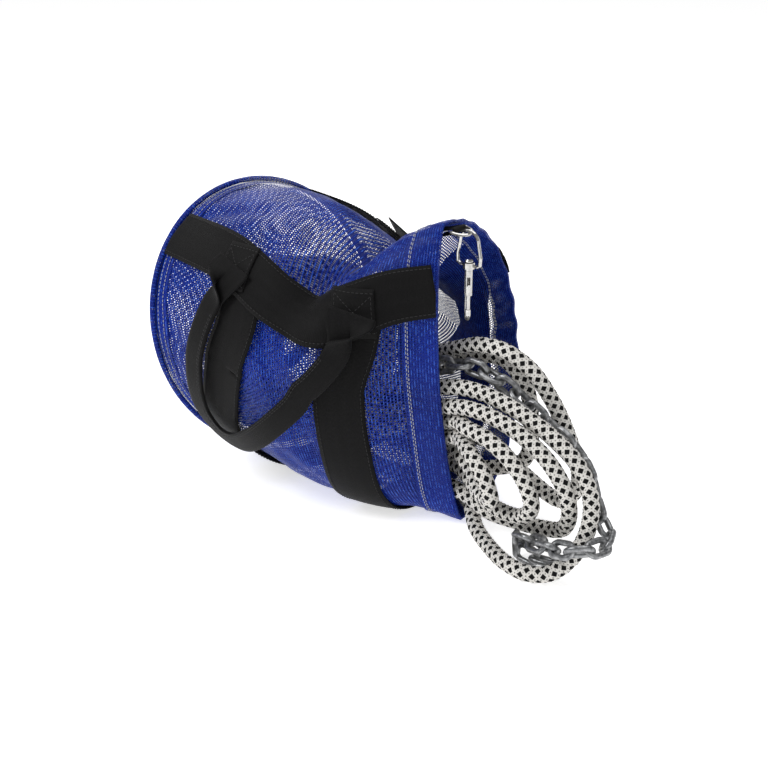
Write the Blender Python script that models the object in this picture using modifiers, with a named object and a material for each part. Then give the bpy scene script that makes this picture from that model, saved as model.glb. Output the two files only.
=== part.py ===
"""Rope bag: an open-mesh barrel bag lying on its side, with its rope and chain spilling out.

Units are metres. +Z is up and the floor is z = 0. The bag lies along X, its round base at -X
and its mouth at +X; its near side, which carries the snap hook's side of the mouth, is -Y.
A place on the bag's skin is named by two numbers: "along", 0 at the base rim and 1 at the
mouth rim, and "around", an angle that starts at the far side (+Y) and goes over the top (90)
and the near side (180) to the floor (270).
"""
import math

import bmesh
import bpy
import numpy as np
from mathutils import Matrix, Vector

# ---------------------------------------------------------------- driving sizes
BAG_LENGTH = 0.286           # from the base rim's middle to the mouth rim's middle
BASE_RADIUS = 0.141          # the round base, inside its piping
MESH_WALL = 0.0012           # coated mesh fabric
PIPING_RADIUS = 0.0030       # cord-filled piping round the base
WEBBING_WIDTH = 0.050        # straps, girth bands and handles
WEBBING_THICK = 0.0014
HEM_DEPTH = 0.032            # folded hem at the mouth
HEM_THICK = 0.0010
HANDLE_FOLDED = 0.025        # the handle's webbing folded in half
HANDLE_THICK = 0.0032
PATCH_LENGTH = 0.038         # where a handle's end is sewn down
PATCH_WIDTH = 0.045
GAP = 0.0003                 # air between pieces that touch

ROPE_DIAMETER = 0.016
CHAIN_WIDTH = 0.0204         # outer width of a link of 6 mm short-link chain
COIL_SHARE = 0.700           # outer radius of the coil in the bag against the base radius
COIL_LAYERS = 3              # turns side by side across the coil
COIL_ROWS = 6                # turns side by side along the coil

RING_WIRE = 0.0030           # D-ring
RING_WIDTH = 0.0200          # between the D-ring's legs
RING_DEPTH = 0.0120
EYE_WIRE = 0.0034            # the snap's wire eye
EYE_WIDTH = 0.0265           # between the middles of the eye's sides
EYE_HEIGHT = 0.0335
COLLAR_HEIGHT = 0.0060
COLLAR_RADIUS = 0.0058
POST_RADIUS = 0.0022         # the swivel post
POST_CLEARANCE = 0.0003
HOOK_WIRE = 0.0052           # the hook's bar
HOOK_LENGTH = 0.0530         # from the barrel's top to the hook's tip
HOOK_REACH = 0.0115          # from the bar to the bolt's axis
HOOK_TIP = 0.0050            # how far the tip stands up from the bend
HOOK_FACING = -50.0          # direction of the bolt from the bar, about +Z in degrees
BARREL_RADIUS = 0.0038
BARREL_LENGTH = 0.0250
BARREL_ROOF = 0.0030
BOLT_RADIUS = 0.0020
BOLT_TRAVEL = 0.0060
STUD_RADIUS = 0.0013
STUD_PROUD = 0.0035          # how far the stud stands out of the barrel
STUD_BELOW = 0.0022          # from the bolt's top to the stud
SPRING_LENGTH = 0.0085
SPRING_WIRE = 0.0005
TAB_WIDTH = 0.0180
TAB_TAIL = 0.0220            # from the ring's bar back along the inside of the hem
TAB_SLOPE = 18.0             # how far the tab falls away from the mouth, degrees
TAB_REACH = 0.0060           # the ring's bar in front of the rim's highest point
TAB_ASIDE = 0.0125           # towards the far side of it
TAB_DROP = 0.0085            # and below it
TAB_SIDE = 1.0               # the tab's thickness lies away from the bar
RING_TILT = 8.0              # how far the ring hangs below level, degrees
EYE_CROWN = 0.80             # top of the eye against its width
EYE_OUTLINE = [(0.75, 0.0), (0.96, 0.05), (1.0, 0.28)]   # the eye's side: shares of half-width and height
HOOK_NECK = [(0.0, 0.9), (0.55, 1.1), (0.92, 1.9), (1.0, 3.0)]   # shares of reach, bars of depth
HEAD_RADIUS = 0.0040
HEAD_HEIGHT = 0.0030
HEAD_DOME = [(0.0, 1.0), (0.7, 0.9), (1.0, 0.4)]   # shares of the head's radius and height
FLANGE_HEIGHT = 0.0015

# ---------------------------------------------------------------- the bag's skin
# One row for each section: share of the length, centre x, centre y, near half-width,
# far half-width, lowest z, highest z, lean back and turn of the section (degrees),
# roundness of the near, far and lower quarters, and how far the far shoulder droops.
DRAWN_LENGTH = 0.286         # the rows are in metres for this length and base radius
DRAWN_RADIUS = 0.141
SECTIONS = np.array([
    (0.00, -0.1307, 0.007, 0.141, 0.141, 0.0070, 0.284, 14.0, -9.0, 1.00, 1.00, 1.00, 0.000),
    (0.30, -0.0437, -0.003, 0.137, 0.137, 0.0046, 0.299, 11.0, -6.0, 1.00, 1.00, 0.86, 0.016),
    (0.55, 0.0263, -0.013, 0.122, 0.125, 0.0042, 0.298, 9.0, -3.0, 1.00, 1.00, 0.76, 0.030),
    (0.75, 0.0833, -0.023, 0.087, 0.118, 0.0042, 0.290, 7.0, 0.0, 1.00, 1.00, 0.76, 0.020),
    (1.00, 0.1553, -0.029, 0.022, 0.108, 0.0052, 0.311, 5.3, 0.0, 1.20, 0.92, 1.00, 0.000),
])
LENGTH_SCALE, ROUND_SCALE = BAG_LENGTH / DRAWN_LENGTH, BASE_RADIUS / DRAWN_RADIUS
SECTIONS[:, 1] *= LENGTH_SCALE
SECTIONS[:, [2, 3, 4, 5, 6, 12]] *= ROUND_SCALE
FLOOR_GAP = 0.0016           # the skin lies this far up, on its bands and hem
FLOOR_ROUNDING = 0.002
# One row for each buckle in the skin: depth, place along at the top, drift along per
# radian around, half-width along, middle and half-width around (degrees).
BUCKLES = [
    (0.038, 0.68, -0.06, 0.095, 98.0, 31.0),
    (0.024, 0.70, -0.10, 0.080, 138.0, 22.0),
    (0.020, 0.70, 0.0, 0.095, 70.0, 30.0),
]
ALONG_STEPS = 24
AROUND_STEPS = 44

# Straps: (along, around in degrees) of their middle line on the near side; the far side
# mirrors the angle. Girth bands: the same, from strap to strap under the bag.
STRAP_LINE = [(0.018, 131.5), (0.15, 134.5), (0.30, 138.0), (0.42, 142.5), (0.54, 149.0), (0.64, 152.0),
              (0.74, 148.0), (0.86, 140.5), (0.992, 138.5)]
STRAP_BRIDGE = {"near": 0.006, "far": 0.001}   # how far the stiffer webbing bridges the buckle
BRIDGE_PLACE, BRIDGE_WIDTH = 0.66, 0.14
STRIP_FROM, STRIP_TO = 0.014, 0.994   # strips stay between the piping and the mouth rim
BAND_REAR_LINE = [(0.405, 141.0), (0.395, 162.0), (0.345, 176.0), (0.285, 190.0), (0.215, 208.0),
                  (0.185, 230.0), (0.210, 270.0), (0.320, 330.0), (0.400, 399.0)]
BAND_FRONT_LINE = [(0.785, 141.0), (0.775, 160.0), (0.735, 180.0), (0.725, 205.0), (0.705, 235.0),
                   (0.700, 270.0), (0.740, 330.0), (0.785, 399.0)]
BAND_OUT = 0.0014            # inner face of each layer above the skin
STRAP_OUT = 0.0036
PATCH_OUT = 0.0060
# Handle: along, around (degrees) and height above the skin of its middle line.
HANDLE_LINE = [(0.370, 141.0, 0.0115), (0.335, 151.0, 0.0110), (0.285, 164.0, 0.0120), (0.238, 177.0, 0.0130),
               (0.200, 190.0, 0.0130), (0.190, 201.0, 0.0130), (0.225, 209.0, 0.0130), (0.310, 209.0, 0.0140),
               (0.425, 201.0, 0.0150), (0.550, 189.0, 0.0160), (0.675, 176.0, 0.0170), (0.755, 161.0, 0.0180),
               (0.780, 147.0, 0.0175)]
HANDLE_LIFT = {"near": 0.0, "far": 0.0060}   # extra height of a handle's two ends
HANDLE_ENDS = (0, -1)
HANDLE_STEPS = 40

# ---------------------------------------------------------------- the cords' routes
# Middle points of the rope from the coil, and of the chain.
ROPE_ROUTE = [
    (-0.0027, 0.077, 0.148), (0.0563, 0.051, 0.152), (0.1063, 0.009, 0.160), (0.1373, -0.003, 0.175),
    (0.1673, -0.004, 0.187), (0.1973, -0.002, 0.187), (0.2203, 0.003, 0.175), (0.2413, 0.010, 0.148),
    (0.2593, 0.016, 0.112), (0.2693, 0.025, 0.060), (0.2443, 0.036, 0.026), (0.1953, 0.038, 0.040),
    (0.1593, 0.034, 0.064), (0.1053, 0.040, 0.058), (0.0513, 0.052, 0.076), (0.0733, 0.037, 0.115),
    (0.1233, 0.015, 0.150), (0.1533, 0.013, 0.167), (0.1853, 0.014, 0.170), (0.2063, 0.017, 0.150),
    (0.2133, 0.021, 0.110), (0.2013, 0.027, 0.060), (0.1593, 0.012, 0.044), (0.0913, 0.016, 0.034),
    (0.0313, 0.005, 0.052), (0.0333, -0.037, 0.100), (0.0913, -0.041, 0.134), (0.1433, -0.034, 0.146),
    (0.1733, -0.032, 0.152), (0.2073, -0.032, 0.151), (0.2423, -0.032, 0.143), (0.2763, -0.033, 0.130),
    (0.3043, -0.034, 0.112), (0.3203, -0.036, 0.086), (0.3233, -0.042, 0.056), (0.3153, -0.054, 0.028),
    (0.3003, -0.069, 0.012), (0.2813, -0.077, 0.009), (0.2553, -0.074, 0.009), (0.2273, -0.061, 0.009),
    (0.1973, -0.043, 0.012), (0.1653, -0.015, 0.022), (0.1113, -0.005, 0.020), (0.0633, -0.033, 0.034),
    (0.0513, -0.069, 0.074), (0.0973, -0.053, 0.112), (0.1523, -0.039, 0.129), (0.1853, -0.043, 0.138),
    (0.2173, -0.044, 0.137), (0.2513, -0.045, 0.128), (0.2813, -0.047, 0.112), (0.3003, -0.047, 0.088),
    (0.3013, -0.041, 0.060), (0.2893, -0.033, 0.040), (0.2633, -0.030, 0.031), (0.2353, -0.032, 0.029),
    (0.2063, -0.035, 0.030), (0.1773, -0.031, 0.036), (0.1313, -0.031, 0.040), (0.0873, -0.053, 0.046),
    (0.0713, -0.081, 0.076), (0.1093, -0.063, 0.102), (0.1533, -0.035, 0.112), (0.1693, -0.039, 0.118),
    (0.1873, -0.050, 0.121), (0.2163, -0.057, 0.121), (0.2443, -0.060, 0.110), (0.2653, -0.061, 0.090),
    (0.2713, -0.059, 0.068), (0.2573, -0.053, 0.051), (0.2293, -0.048, 0.045), (0.1993, -0.039, 0.047),
    (0.1673, -0.021, 0.054), (0.1133, -0.001, 0.050), (0.0713, 0.013, 0.052), (0.0533, -0.015, 0.066),
    (0.0713, -0.041, 0.086), (0.1133, -0.044, 0.093), (0.1543, -0.035, 0.095), (0.1693, -0.038, 0.101),
    (0.1863, -0.052, 0.104), (0.2073, -0.066, 0.102), (0.2273, -0.073, 0.088), (0.2323, -0.070, 0.067),
    (0.2133, -0.057, 0.061), (0.1873, -0.038, 0.069), (0.1513, -0.019, 0.076), (0.1013, 0.009, 0.076),
]
CHAIN_ROUTE = [
    (0.0513, 0.015, 0.112), (0.0813, -0.003, 0.142), (0.1303, -0.020, 0.161), (0.1613, -0.017, 0.168),
    (0.1983, -0.014, 0.161), (0.2303, -0.009, 0.142), (0.2573, -0.007, 0.125), (0.2853, -0.009, 0.110),
    (0.3013, -0.010, 0.090), (0.3153, -0.016, 0.064), (0.3403, -0.034, 0.047), (0.3423, -0.051, 0.048),
    (0.3303, -0.069, 0.047), (0.3053, -0.069, 0.041), (0.2773, -0.060, 0.032), (0.2553, -0.053, 0.026),
    (0.2503, -0.050, 0.014), (0.2693, -0.052, 0.011), (0.2993, -0.047, 0.011),
]
ROPE_POINT_SPACING = 0.034
CHAIN_POINT_SPACING = 0.024
COIL_CLEAR = 0.014           # from the middle of the base to the coil
COIL_LIFT = 0.121            # height of its middle at the drawn radius
END_TAB_LENGTH = 0.030
END_TAB_WIDTH = 0.025
END_TAB_CLEAR = 0.004        # from the base panel to the tab

COLOURS = {
    "mesh": ((0.03, 0.09, 0.42, 1.0), 0.55, 0.0),
    "webbing": ((0.012, 0.012, 0.013, 1.0), 0.75, 0.0),
    "nickel": ((0.72, 0.71, 0.69, 1.0), 0.22, 1.0),
    "steel": ((0.42, 0.43, 0.44, 1.0), 0.45, 1.0),
    "rope": ((0.72, 0.69, 0.63, 1.0), 0.8, 0.0),
    "brass": ((0.60, 0.45, 0.20, 1.0), 0.3, 1.0),
}


# ---------------------------------------------------------------- small helpers
def smooth_curve(knots, values, at):
    """Reads a smooth curve through (knots, values): cubic pieces with central slopes."""
    knots, at = np.asarray(knots, float), np.asarray(at, float)
    values = np.asarray(values, float)
    slopes = np.gradient(values, knots, axis=0)
    piece = np.clip(np.searchsorted(knots, at, side="right") - 1, 0, len(knots) - 2)
    span = knots[piece + 1] - knots[piece]
    t = (at - knots[piece]) / span
    if values.ndim > 1:
        t, span = t[..., None], span[..., None]
    return ((2 * t**3 - 3 * t**2 + 1) * values[piece] + (t**3 - 2 * t**2 + t) * span * slopes[piece]
            + (3 * t**2 - 2 * t**3) * values[piece + 1] + (t**3 - t**2) * span * slopes[piece + 1])


def along_route(points, spacing, radius):
    """Points spaced evenly along the smooth curve through hand-set points, kept above the floor."""
    points = np.array(points, float)
    knots = np.concatenate([[0.0], np.cumsum(np.linalg.norm(np.diff(points, axis=0), axis=1))])
    fine = smooth_curve(knots, points, np.linspace(0.0, knots[-1], 60 * len(points)))
    run = np.concatenate([[0.0], np.cumsum(np.linalg.norm(np.diff(fine, axis=0), axis=1))])
    count = max(2, int(round(run[-1] / spacing)) + 1)
    even = np.linspace(0.0, run[-1], count)
    placed = np.stack([np.interp(even, run, fine[:, axis]) for axis in range(3)], axis=1)
    placed[:, 2] = np.maximum(placed[:, 2], radius + GAP)
    return placed


def skin_base(along, around):
    """Point of the bag's outer skin at (along, around in radians)."""
    row = [smooth_curve(SECTIONS[:, 0], SECTIONS[:, column], along) for column in range(1, 13)]
    mid_x, mid_y, near, far, low, high, lean, turn, near_round, far_round, low_round, droop = row
    across, up = np.cos(around), np.sin(around)
    power = np.where(across < 0, near_round, far_round) * np.where(up < 0, low_round, 1.0)
    side = np.sign(across) * np.abs(across)**power * np.where(across < 0, near, far)
    rise = np.sign(up) * np.abs(up)**power * (high - low) / 2
    rise = rise - np.where((across > 0) & (up > 0), droop * np.sin(2 * around), 0.0)
    for depth, place, drift, width, middle, spread in BUCKLES:
        past = (along - (place + drift * (around - math.pi / 2))) / width
        turned = (around - math.radians(middle)) / math.radians(spread)
        pull = depth * np.exp(-past**2 - turned**2)
        reach = np.hypot(side, rise) + 1e-9
        side, rise = side * (1 - pull / reach), rise * (1 - pull / reach)
    x = mid_x - rise * np.tan(np.radians(lean)) - side * np.tan(np.radians(turn))
    above = rise + (high + low) / 2 - FLOOR_GAP
    z = FLOOR_GAP + 0.5 * (above + np.sqrt(above**2 + FLOOR_ROUNDING**2))
    return np.stack([x, mid_y + side, z], axis=-1)


def skin_frame(along, around, step=1e-4):
    """Point, outward normal and the two slopes of the skin at (along, around)."""
    slope_along = (skin_base(along + step, around) - skin_base(along - step, around)) / (2 * step)
    slope_around = (skin_base(along, around + step) - skin_base(along, around - step)) / (2 * step)
    normal = np.cross(slope_around, slope_along)
    normal /= np.linalg.norm(normal, axis=-1, keepdims=True)
    return skin_base(along, around), normal, slope_along, slope_around


def skin(along, around, out=0.0):
    """Point at height out above the skin."""
    along, around, out = np.broadcast_arrays(*(np.asarray(a, float) for a in (along, around, out)))
    point, normal, _, _ = skin_frame(along, around % (2 * math.pi))
    return point + normal * out[..., None]


def material(name):
    """The material of that name, made once."""
    made = bpy.data.materials.get(name)
    if made is None:
        made = bpy.data.materials.new(name)
        made.use_nodes = True
        colour, roughness, metallic = COLOURS[name]
        shader = made.node_tree.nodes["Principled BSDF"]
        shader.inputs["Base Color"].default_value = colour
        shader.inputs["Roughness"].default_value = roughness
        shader.inputs["Metallic"].default_value = metallic
        made.diffuse_color = colour
    return made


def add_object(name, data, collection, finish=None):
    """Links a new object that shows data."""
    made = bpy.data.objects.new(name, data)
    collection.objects.link(made)
    if finish:
        data.materials.append(material(finish))
    return made


def sheet_mesh(name, grid, wrap_first=False, wrap_second=False):
    """Open surface through a grid of points; its normal is first direction x second direction."""
    rows, columns = grid.shape[:2]
    i = np.arange(rows if wrap_first else rows - 1)[:, None]
    j = np.arange(columns if wrap_second else columns - 1)[None, :]
    next_i, next_j = (i + 1) % rows, (j + 1) % columns
    quads = np.stack([i * columns + j, next_i * columns + j, next_i * columns + next_j,
                      i * columns + next_j], axis=-1).reshape(-1, 4)
    mesh = bpy.data.meshes.new(name)
    mesh.from_pydata(grid.reshape(-1, 3).tolist(), [], quads.tolist())
    mesh.update()
    return mesh


def add_wall(made, thickness, offset):
    """Gives an open surface its thickness: offset 1 outwards, -1 inwards, 0 both ways."""
    wall = made.modifiers.new("wall", "SOLIDIFY")
    wall.thickness = thickness
    wall.offset = offset
    return made


def shade(made):
    """Round pieces are shaded smooth, with their sharp edges kept."""
    made.data.shade_smooth()
    made.data.set_sharp_from_angle(angle=math.radians(40))


def strip_on_skin(name, line, width, out, thickness, collection, finish, steps, across=5, bridge=0.0):
    """A strip of webbing laid on the skin along a line of (along, around in degrees)."""
    line = np.array(line, float)
    knots = np.linspace(0.0, 1.0, len(line))
    line = smooth_curve(knots, line, np.linspace(0.0, 1.0, steps))
    along, around = line[:, 0], np.radians(line[:, 1])
    point, normal, slope_along, slope_around = skin_frame(along, around)
    forward = np.gradient(point, axis=0)
    sideways = np.cross(normal, forward)
    sideways /= np.linalg.norm(sideways, axis=1, keepdims=True)
    aa, ab = (slope_along**2).sum(1), (slope_along * slope_around).sum(1)
    bb = (slope_around**2).sum(1)
    pa, pb = (slope_along * sideways).sum(1), (slope_around * sideways).sum(1)
    step_along = (pa * bb - pb * ab) / (aa * bb - ab**2)
    step_around = (pb * aa - pa * ab) / (aa * bb - ab**2)
    reach = np.linspace(-width / 2, width / 2, across)
    grid_along = along[:, None] + step_along[:, None] * reach
    grid_around = around[:, None] + step_around[:, None] * reach
    lift = out + bridge * np.exp(-((grid_along - BRIDGE_PLACE) / BRIDGE_WIDTH)**2)
    grid = skin(np.clip(grid_along, STRIP_FROM, STRIP_TO), grid_around, lift)
    return add_wall(add_object(name, sheet_mesh(name, grid), collection, finish), thickness, 1.0)


def closed_tube(name, points, radius, collection, finish, cyclic=False, resolution=2):
    """A tube of even radius along a POLY curve, with filled caps."""
    curve = bpy.data.curves.new(name, "CURVE")
    curve.dimensions = "3D"
    curve.bevel_depth = radius
    curve.bevel_resolution = resolution
    curve.use_fill_caps = True
    curve.resolution_u = 1
    curve.render_resolution_u = 0
    spline = curve.splines.new("POLY")
    spline.points.add(len(points) - 1)
    for knot, point in zip(spline.points, points):
        knot.co = (*[float(value) for value in point], 1.0)
    spline.use_cyclic_u = cyclic
    return add_object(name, curve, collection, finish)


def as_mesh(made, collection):
    """Turns a curve object into a mesh object of the same name, its caps welded."""
    graph = bpy.context.evaluated_depsgraph_get()
    graph.update()
    mesh = bpy.data.meshes.new_from_object(made.evaluated_get(graph), depsgraph=graph)
    work = bmesh.new()
    work.from_mesh(mesh)
    bmesh.ops.remove_doubles(work, verts=work.verts, dist=1e-6)
    bmesh.ops.recalc_face_normals(work, faces=work.faces)
    work.to_mesh(mesh)
    work.free()
    name, place = made.name, made.matrix_world.copy()
    bpy.data.objects.remove(made)
    solid = bpy.data.objects.new(name, mesh)
    solid.matrix_world = place
    collection.objects.link(solid)
    return solid


def cylinder(name, radius, length, centre, collection, finish=None, axis=(0, 0, 1), sides=20):
    """A plain cylinder about an axis, its middle at centre."""
    work = bmesh.new()
    bmesh.ops.create_cone(work, cap_ends=True, segments=sides, radius1=radius, radius2=radius, depth=length)
    mesh = bpy.data.meshes.new(name)
    work.to_mesh(mesh)
    work.free()
    made = add_object(name, mesh, collection, finish)
    made.rotation_mode = "QUATERNION"
    made.rotation_quaternion = Vector((0, 0, 1)).rotation_difference(Vector(axis))
    made.location = centre
    return made


def block(name, size, centre, collection, finish=None, turn=0.0):
    """A plain box, turned about +Z."""
    work = bmesh.new()
    bmesh.ops.create_cube(work, size=1.0)
    bmesh.ops.scale(work, vec=size, verts=work.verts)
    mesh = bpy.data.meshes.new(name)
    work.to_mesh(mesh)
    work.free()
    made = add_object(name, mesh, collection, finish)
    made.rotation_euler = (0, 0, turn)
    made.location = centre
    return made


def turned(name, profile, centre, collection, finish, axis=(0, 0, 1), steps=28):
    """A turned piece: profile of (radius, height) run from top to bottom on the outside."""
    mesh = bpy.data.meshes.new(name)
    edges = [(k, k + 1) for k in range(len(profile) - 1)]
    if profile[0][0] > 0:
        edges.append((len(profile) - 1, 0))
    mesh.from_pydata([(radius, 0.0, height) for radius, height in profile], edges, [])
    made = add_object(name, mesh, collection, finish)
    screw = made.modifiers.new("turn", "SCREW")
    screw.steps = steps
    screw.render_steps = steps
    screw.use_merge_vertices = True
    screw.merge_threshold = 1e-5
    made.rotation_mode = "QUATERNION"
    made.rotation_quaternion = Vector((0, 0, 1)).rotation_difference(Vector(axis))
    made.location = centre
    return made


def combine(target, tool, operation, cutters):
    """Boolean with the exact solver; the tool moves to the cutters' collection."""
    step = target.modifiers.new(operation.lower(), "BOOLEAN")
    step.operation = operation
    step.object = tool
    step.solver = "EXACT"
    for home in list(tool.users_collection):
        home.objects.unlink(tool)
    cutters.objects.link(tool)
    tool.hide_render = True
    tool.display_type = "WIRE"
    return target


# ---------------------------------------------------------------- the bag
def side_panel(parts):
    """Mesh barrel: one open sheet wrapped from the base to the mouth."""
    along = np.linspace(0.0, 1.0, ALONG_STEPS + 1)[:, None]
    around = np.linspace(0.0, 2 * math.pi, AROUND_STEPS, endpoint=False)[None, ::-1]
    grid = skin_base(along + 0 * around, around + 0 * along)
    made = add_object("side_panel", sheet_mesh("side_panel", grid, wrap_second=True), parts, "mesh")
    return add_wall(made, MESH_WALL, -1.0)


def base_loop(out, along=0.0, count=AROUND_STEPS):
    """Ring of points round the base at a height above the skin."""
    return skin(along, np.linspace(0.0, 2 * math.pi, count, endpoint=False), out)


def base_panel(parts):
    """Flat mesh disc inside the base end of the barrel."""
    rim = base_loop(-(MESH_WALL + GAP + MESH_WALL), along=0.004)
    mesh = bpy.data.meshes.new("base_panel")
    mesh.from_pydata(rim.tolist(), [], [list(range(len(rim)))[::-1]])
    made = add_object("base_panel", mesh, parts, "mesh")
    return add_wall(made, MESH_WALL, -1.0)


def base_piping(parts):
    """Cord-filled piping round the base seam."""
    loop = base_loop(PIPING_RADIUS + GAP)
    return closed_tube("base_piping", loop, PIPING_RADIUS, parts, "mesh", cyclic=True)


def mouth_hem(parts):
    """Folded hem round the mouth, outside the panel."""
    around = np.linspace(0.0, 2 * math.pi, AROUND_STEPS, endpoint=False)[::-1]
    _, _, slope, _ = skin_frame(np.ones_like(around), around)
    start = STRIP_TO - HEM_DEPTH / np.linalg.norm(slope, axis=1)
    share = np.linspace(0.0, 1.0, 4)[:, None]
    along = start * (1 - share) + STRIP_TO * share
    grid = skin(along, around[None, :] + 0 * share, BAND_OUT)
    made = add_object("mouth_hem", sheet_mesh("mouth_hem", grid, wrap_second=True), parts, "mesh")
    return add_wall(made, HEM_THICK, 1.0)


def mirrored(line):
    """The same line on the far side of the bag."""
    return [(row[0], 180.0 - row[1], *row[2:]) for row in line]


def webbing(parts):
    """Straps along the bag and the girth bands that sling under it from strap to strap."""
    for side, line in (("near", STRAP_LINE), ("far", mirrored(STRAP_LINE))):
        strip_on_skin("strap_" + side, line, WEBBING_WIDTH, STRAP_OUT, WEBBING_THICK, parts, "webbing", 27,
                      bridge=STRAP_BRIDGE[side])
    for place, line in (("rear", BAND_REAR_LINE), ("front", BAND_FRONT_LINE)):
        strip_on_skin("band_" + place, line, WEBBING_WIDTH, BAND_OUT, WEBBING_THICK, parts, "webbing", 45)


def handle(parts, side, line):
    """Carrying handle: webbing folded in half, opening flat towards its two sewn ends."""
    line = np.array(line, float)
    knots = np.linspace(0.0, 1.0, len(line))
    at = np.linspace(0.0, 1.0, HANDLE_STEPS)
    line = smooth_curve(knots, line, at)
    middle = skin(line[:, 0], np.radians(line[:, 1]), line[:, 2] + HANDLE_LIFT[side] * (2 * at - 1)**2)
    _, normal, _, _ = skin_frame(line[:, 0], np.radians(line[:, 1]) % (2 * math.pi))
    forward = np.gradient(middle, axis=0)
    sideways = np.cross(normal, forward)
    sideways /= np.linalg.norm(sideways, axis=1, keepdims=True)
    run = np.concatenate([[0.0], np.cumsum(np.linalg.norm(np.diff(middle, axis=0), axis=1))])
    from_end = np.minimum(run, run[-1] - run)
    flat = np.clip(1.0 - from_end / WEBBING_WIDTH, 0.0, 1.0)
    width = HANDLE_FOLDED + (WEBBING_WIDTH - HANDLE_FOLDED) * flat**2 * (3 - 2 * flat)
    across = (width[:, None] * np.array([-0.5, 0.0, 0.5]))[..., None]
    grid = middle[:, None, :] + sideways[:, None, :] * across
    name = "handle_" + side
    made = add_object(name, sheet_mesh(name, grid), parts, "webbing")
    add_wall(made, HANDLE_THICK, 0.0)
    for end, label in zip(HANDLE_ENDS, ("rear", "front")):
        spot = line[end]
        half = PATCH_LENGTH / 2 / np.linalg.norm(skin_frame(spot[0], math.radians(spot[1]))[2])
        patch = [(spot[0] - half, spot[1]), (spot[0], spot[1]), (spot[0] + half, spot[1])]
        strip_on_skin("patch_" + side + "_" + label, patch, PATCH_WIDTH, PATCH_OUT, WEBBING_THICK,
                      parts, "webbing", 7, bridge=STRAP_BRIDGE[side])
    return made


# ---------------------------------------------------------------- ring and snap hook
def rim_top():
    """Highest point of the mouth rim."""
    return skin_base(np.array(1.0), np.array(math.pi / 2))


def ring_bar():
    """Middle of the D-ring's straight bar, held in its tab."""
    return rim_top() + np.array([TAB_REACH, TAB_ASIDE, -TAB_DROP])


def ring_bow():
    """Middle of the D-ring's bow, where the snap's eye hangs."""
    tilt = math.radians(RING_TILT)
    return ring_bar() + (RING_DEPTH + RING_WIRE / 2) * np.array([math.cos(tilt), 0.0, -math.sin(tilt)])


def ring_tab(parts):
    """Short webbing tab sewn inside the hem's top and looped round the D-ring's bar."""
    bar, slope = ring_bar(), math.radians(TAB_SLOPE)
    radius = RING_WIRE / 2 + GAP
    bend = np.radians(np.linspace(-90.0, 90.0, 9))
    out = np.concatenate([[-TAB_TAIL], radius * np.cos(bend), [-TAB_TAIL]])
    up = np.concatenate([[-radius], radius * np.sin(bend), [radius]])
    x = bar[0] + out * math.cos(slope) - up * math.sin(slope)
    z = bar[2] + out * math.sin(slope) + up * math.cos(slope)
    grid = np.stack([np.stack([x, np.full_like(x, bar[1] + y), z], axis=1)
                     for y in (TAB_WIDTH / 2, -TAB_WIDTH / 2)], axis=1)
    made = add_object("ring_tab", sheet_mesh("ring_tab", grid), parts, "webbing")
    return add_wall(made, WEBBING_THICK, TAB_SIDE)


def d_ring(parts):
    """Wire D-ring: straight bar in the tab, round bow outside it."""
    half, wire = (RING_WIDTH + RING_WIRE) / 2, RING_WIRE / 2
    depth = RING_DEPTH + wire
    bend = np.radians(np.linspace(-90.0, 90.0, 13))
    bow = [(depth - half + half * math.cos(a), half * math.sin(a)) for a in bend]
    flat = [(0.0, -half)] + bow + [(0.0, half)]
    tilt, bar = math.radians(RING_TILT), ring_bar()
    points = [(bar[0] + reach * math.cos(tilt), bar[1] + y, bar[2] - reach * math.sin(tilt))
              for reach, y in flat]
    return closed_tube("d_ring", points, wire, parts, "nickel", cyclic=True)


def eye_foot():
    """Middle of the eye's collar, on the swivel's axis."""
    return ring_bow() - np.array([0.0, 0.0, EYE_HEIGHT - RING_WIRE / 2 - EYE_WIRE / 2])


def snap_eye(parts, cutters):
    """Pear-shaped wire eye with a drilled collar for the swivel post."""
    foot = eye_foot()
    half, crown = EYE_WIDTH / 2, EYE_WIDTH / 2 * EYE_CROWN
    arc = np.radians(np.linspace(0.0, 180.0, 11))
    leg = [(half * wide, EYE_HEIGHT * high) for wide, high in EYE_OUTLINE]
    outline = [(0.0, 0.0), *leg]
    outline += [(crown * math.cos(a), EYE_HEIGHT - crown + crown * math.sin(a)) for a in arc]
    outline += [(-across, up) for across, up in reversed(leg)]
    points = [(foot[0] + x, foot[1], foot[2] + z) for x, z in outline]
    made = as_mesh(closed_tube("snap_eye", points, EYE_WIRE / 2, parts, "nickel", cyclic=True), parts)
    made.data.materials.append(material("nickel"))
    collar = cylinder("eye_collar", COLLAR_RADIUS, COLLAR_HEIGHT, foot, parts)
    combine(made, collar, "UNION", cutters)
    bore = cylinder("eye_bore", POST_RADIUS + POST_CLEARANCE, COLLAR_HEIGHT * 3, foot, parts)
    return combine(made, bore, "DIFFERENCE", cutters)


def swivel_post(parts):
    """Headed post that turns in the eye's collar and carries the hook."""
    foot = eye_foot()
    top = COLLAR_HEIGHT / 2 + GAP
    bottom = -COLLAR_HEIGHT / 2 - GAP
    dome = [(HEAD_RADIUS * share, top + HEAD_HEIGHT * rise) for share, rise in HEAD_DOME]
    profile = [*dome, (HEAD_RADIUS, top), (POST_RADIUS, top), (POST_RADIUS, bottom), (HEAD_RADIUS, bottom),
               (HEAD_RADIUS, bottom - FLANGE_HEIGHT), (0.0, bottom - FLANGE_HEIGHT)]
    return turned("swivel_post", profile, foot, parts, "nickel", steps=20)


def barrel_top():
    """Middle of the hook barrel's upper face."""
    return eye_foot() - np.array([0.0, 0.0, COLLAR_HEIGHT / 2 + GAP + FLANGE_HEIGHT + GAP])


def hook_turn():
    """Unit direction from the hook's bar to its bolt."""
    return np.array([math.cos(math.radians(HOOK_FACING)), math.sin(math.radians(HOOK_FACING)), 0.0])


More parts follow.
